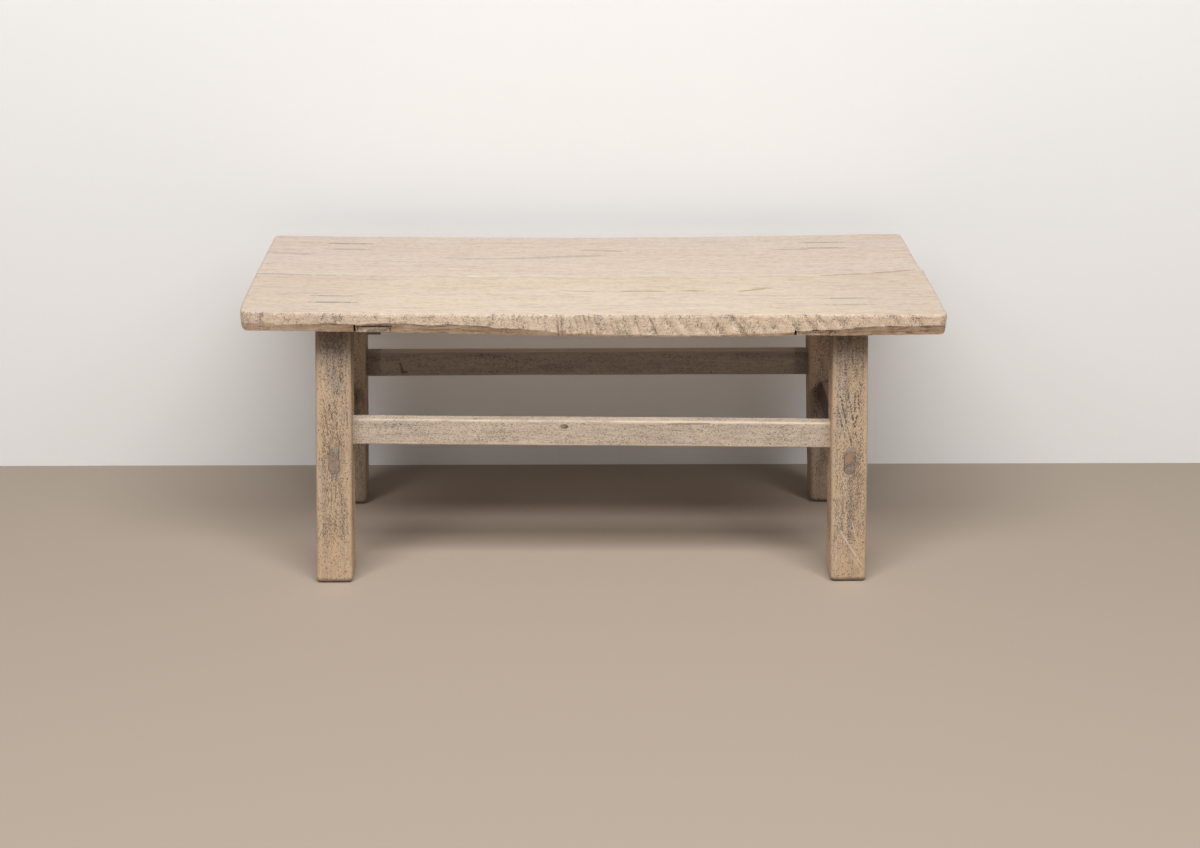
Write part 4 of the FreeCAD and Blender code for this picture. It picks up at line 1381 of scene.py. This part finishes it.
# %% The tree for wedges
def wedge_tree():
    bench, given, out = new_tree(
        "driven_wedges", "GeometryNodeTree",
        [("Geometry", "Geometry", None), ("Head", "Float", 0.0058), ("Tip", "Float", 0.001),
         ("Depth", "Float", 0.0298), ("Length", "Float", 0.0305), ("Sag", "Float", top_shape["sag"]),
         ("Top Height", "Float", top_shape["height"]), ("Half Length", "Float", top_shape["half"]),
         ("Finish", "Material", None)],
        [("Geometry", "Geometry")])
    plus, minus, times = bench.plus, bench.minus, bench.times
    cube = bench.add("GeometryNodeMeshCube", {"Size": bench.joined(1.0, given["Depth"], given["Length"]),
                                              "Vertices X": 7, "Vertices Y": 15, "Vertices Z": 9})
    x, y, z = bench.parts(bench.add("GeometryNodeInputPosition").outputs[0])
    height = plus(bench.over(z, given["Length"]), 0.5)
    thick = plus(given["Tip"], times(minus(given["Head"], given["Tip"]), height))
    tapered = bench.joined(times(x, thick), y, minus(z, times(given["Length"], 0.5)))
    wedge = bench.add("GeometryNodeSetPosition", {"Geometry": cube.outputs[0], "Position": tapered})
    lean = bench.stored("lean", "FLOAT_VECTOR")
    turned = bench.add("FunctionNodeAlignRotationToVector", {"Vector": lean}, axis="Z")
    placed = bench.add("GeometryNodeInstanceOnPoints", {
        "Points": given["Geometry"], "Instance": wedge.outputs[0], "Rotation": turned.outputs[0]})
    solid = bench.add("GeometryNodeRealizeInstances", {"Geometry": placed.outputs[0]})
    share = bench.over(x, given["Half Length"])
    surface = minus(given["Top Height"], times(given["Sag"], minus(1.0, times(share, share))))
    trimmed = bench.joined(x, y, bench.math("MINIMUM", z, surface))
    cut = bench.add("GeometryNodeSetPosition", {"Geometry": solid.outputs[0], "Position": trimmed})
    painted = bench.add("GeometryNodeSetMaterial",
                        {"Geometry": cut.outputs[0], "Material": given["Finish"]})
    bench.feed(out["Geometry"], painted.outputs[0])
    return bench.tree


# %% Set and finish the wedges
wedge_nodes = ["wedge_" + corner + "_" + side for corner in corners for side in ("outer", "inner")]
low_cut, high_cut, head_height = 0.4585, 0.4795, 0.4838
heads, leans = [], []
for node in wedge_nodes:
    low, high = (cut_box(node, 2, z).mean(0) for z in (low_cut, high_cut))
    direction = high - low
    heads.append((high + direction * (head_height - high_cut) / direction[2]).tolist())
    leans.append(direction / np.linalg.norm(direction))
wedge_points = bpy.data.meshes.new("wedges")
wedge_points.from_pydata(heads, [], [])
lean_layer = wedge_points.attributes.new("lean", "FLOAT_VECTOR", "POINT")
lean_layer.data.foreach_set("vector", np.array(leans, dtype=np.float32).ravel())
wedge_finish = elm("elm_wedges", "z", (0.2, 0.5, 0.4), {**weathered, "Light": (0.66, 0.52, 0.36)},
                   rail_levels)
wedges = grow(wedge_points, [(wedge_tree(), {})], wedge_finish)
mark_ends(wedges, 2)
mark_bleach(wedges)
dress(wedges, "wedges", wedge_finish, wedge_nodes)

# %% Bamboo for the hidden pins
bamboo = elm("bamboo", "y", (0, 0, 0),
             {"Light": (0.62, 0.50, 0.27), "Warm": (0.55, 0.40, 0.2),
              "Grey": (0.5, 0.42, 0.25), "Dirt": (0.2, 0.14, 0.07)},
             {"Bands": 0.4, "Streaks": 0.9, "Speckle": 0.0, "Pores": 0.2})
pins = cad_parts["seam_pins"]
pins.data.materials.clear()
pins.data.materials.append(bamboo)

# %% [markdown]
# ## Floor, backdrop and light
# The floor is a plain pale slab and the backdrop a plain pale wall close behind the table. The wall
# is seen only by the camera and only from its front, so it neither shades the table nor hides it
# from behind. Large soft lamps from both sides and above give the flat, even light of a studio.

# %% Floor and backdrop
def plain_sheet(name, outline, color, roughness):
    """A flat sheet beside the table, and the surface shader of its material."""
    mesh = bpy.data.meshes.new(name)
    mesh.from_pydata(outline, [], [(0, 1, 2, 3)])
    material = bpy.data.materials.new(name)
    material.use_nodes = True
    surface = material.node_tree.nodes["Principled BSDF"]
    surface.inputs["Base Color"].default_value = (*color, 1)
    surface.inputs["Roughness"].default_value = roughness
    surface.inputs["Specular IOR Level"].default_value = 0.2
    mesh.materials.append(material)
    put(name, mesh)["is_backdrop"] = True
    return material.node_tree, surface


reach, wall_y, wall_top = 9, 0.297, 6
plain_sheet("floor", [(-reach, -reach, 0), (reach, -reach, 0), (reach, reach, 0), (-reach, reach, 0)],
            (0.505, 0.415, 0.335), 0.75)
wall_tree, wall_surface = plain_sheet("wall", [
    (-reach, wall_y, 0), (reach, wall_y, 0), (reach, wall_y, wall_top), (-reach, wall_y, wall_top)],
    (0.95, 0.945, 0.94), 0.9)
wall_surface.inputs["Emission Color"].default_value = (1, 1, 1, 1)
wall_surface.inputs["Emission Strength"].default_value = 0.035

# %% Let only the camera see the wall, and only from its front
bench = Bench(wall_tree)
seen = bench.add("ShaderNodeLightPath").outputs["Is Camera Ray"]
front_side = bench.minus(1.0, bench.add("ShaderNodeNewGeometry").outputs["Backfacing"])
see_through = bench.add("ShaderNodeBsdfTransparent").outputs[0]
shown = bench.add("ShaderNodeMixShader", {0: bench.times(seen, front_side), 1: see_through,
                                          2: wall_surface.outputs[0]})
bench.feed(wall_tree.nodes["Material Output"].inputs["Surface"], shown.outputs[0])


# %% Lamps
def soft_lamp(name, place, towards, size, power):
    light = bpy.data.lights.new(name, "AREA")
    light.shape, light.size, light.size_y, light.energy = "RECTANGLE", size[0], size[1], power
    lamp = put(name, light)
    lamp.location = place
    lamp.rotation_euler = (Vector(towards) - Vector(place)).to_track_quat("-Z", "Y").to_euler()


soft_lamp("key_above", (0.0, -2.35, 4.5), (0, -0.2, 0.3), (5.2, 1.3), 233)
soft_lamp("side_left", (-2.8, -2.9, 3.2), (0, 0, 0.3), (1.5, 1.5), 22)
soft_lamp("side_right", (2.8, -2.9, 3.2), (0, 0, 0.3), (1.5, 1.5), 22)
world = bpy.data.worlds.new("studio")
world.use_nodes = True
world.node_tree.nodes["Background"].inputs[0].default_value = (1, 1, 1, 1)
world.node_tree.nodes["Background"].inputs[1].default_value = 0.1
bpy.context.scene.world = world
bpy.context.scene.view_settings.view_transform = "Standard"

# %% Print the finished model's box
low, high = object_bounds()
print("finished model from", [round(v, 4) for v in low], "to", [round(v, 4) for v in high])
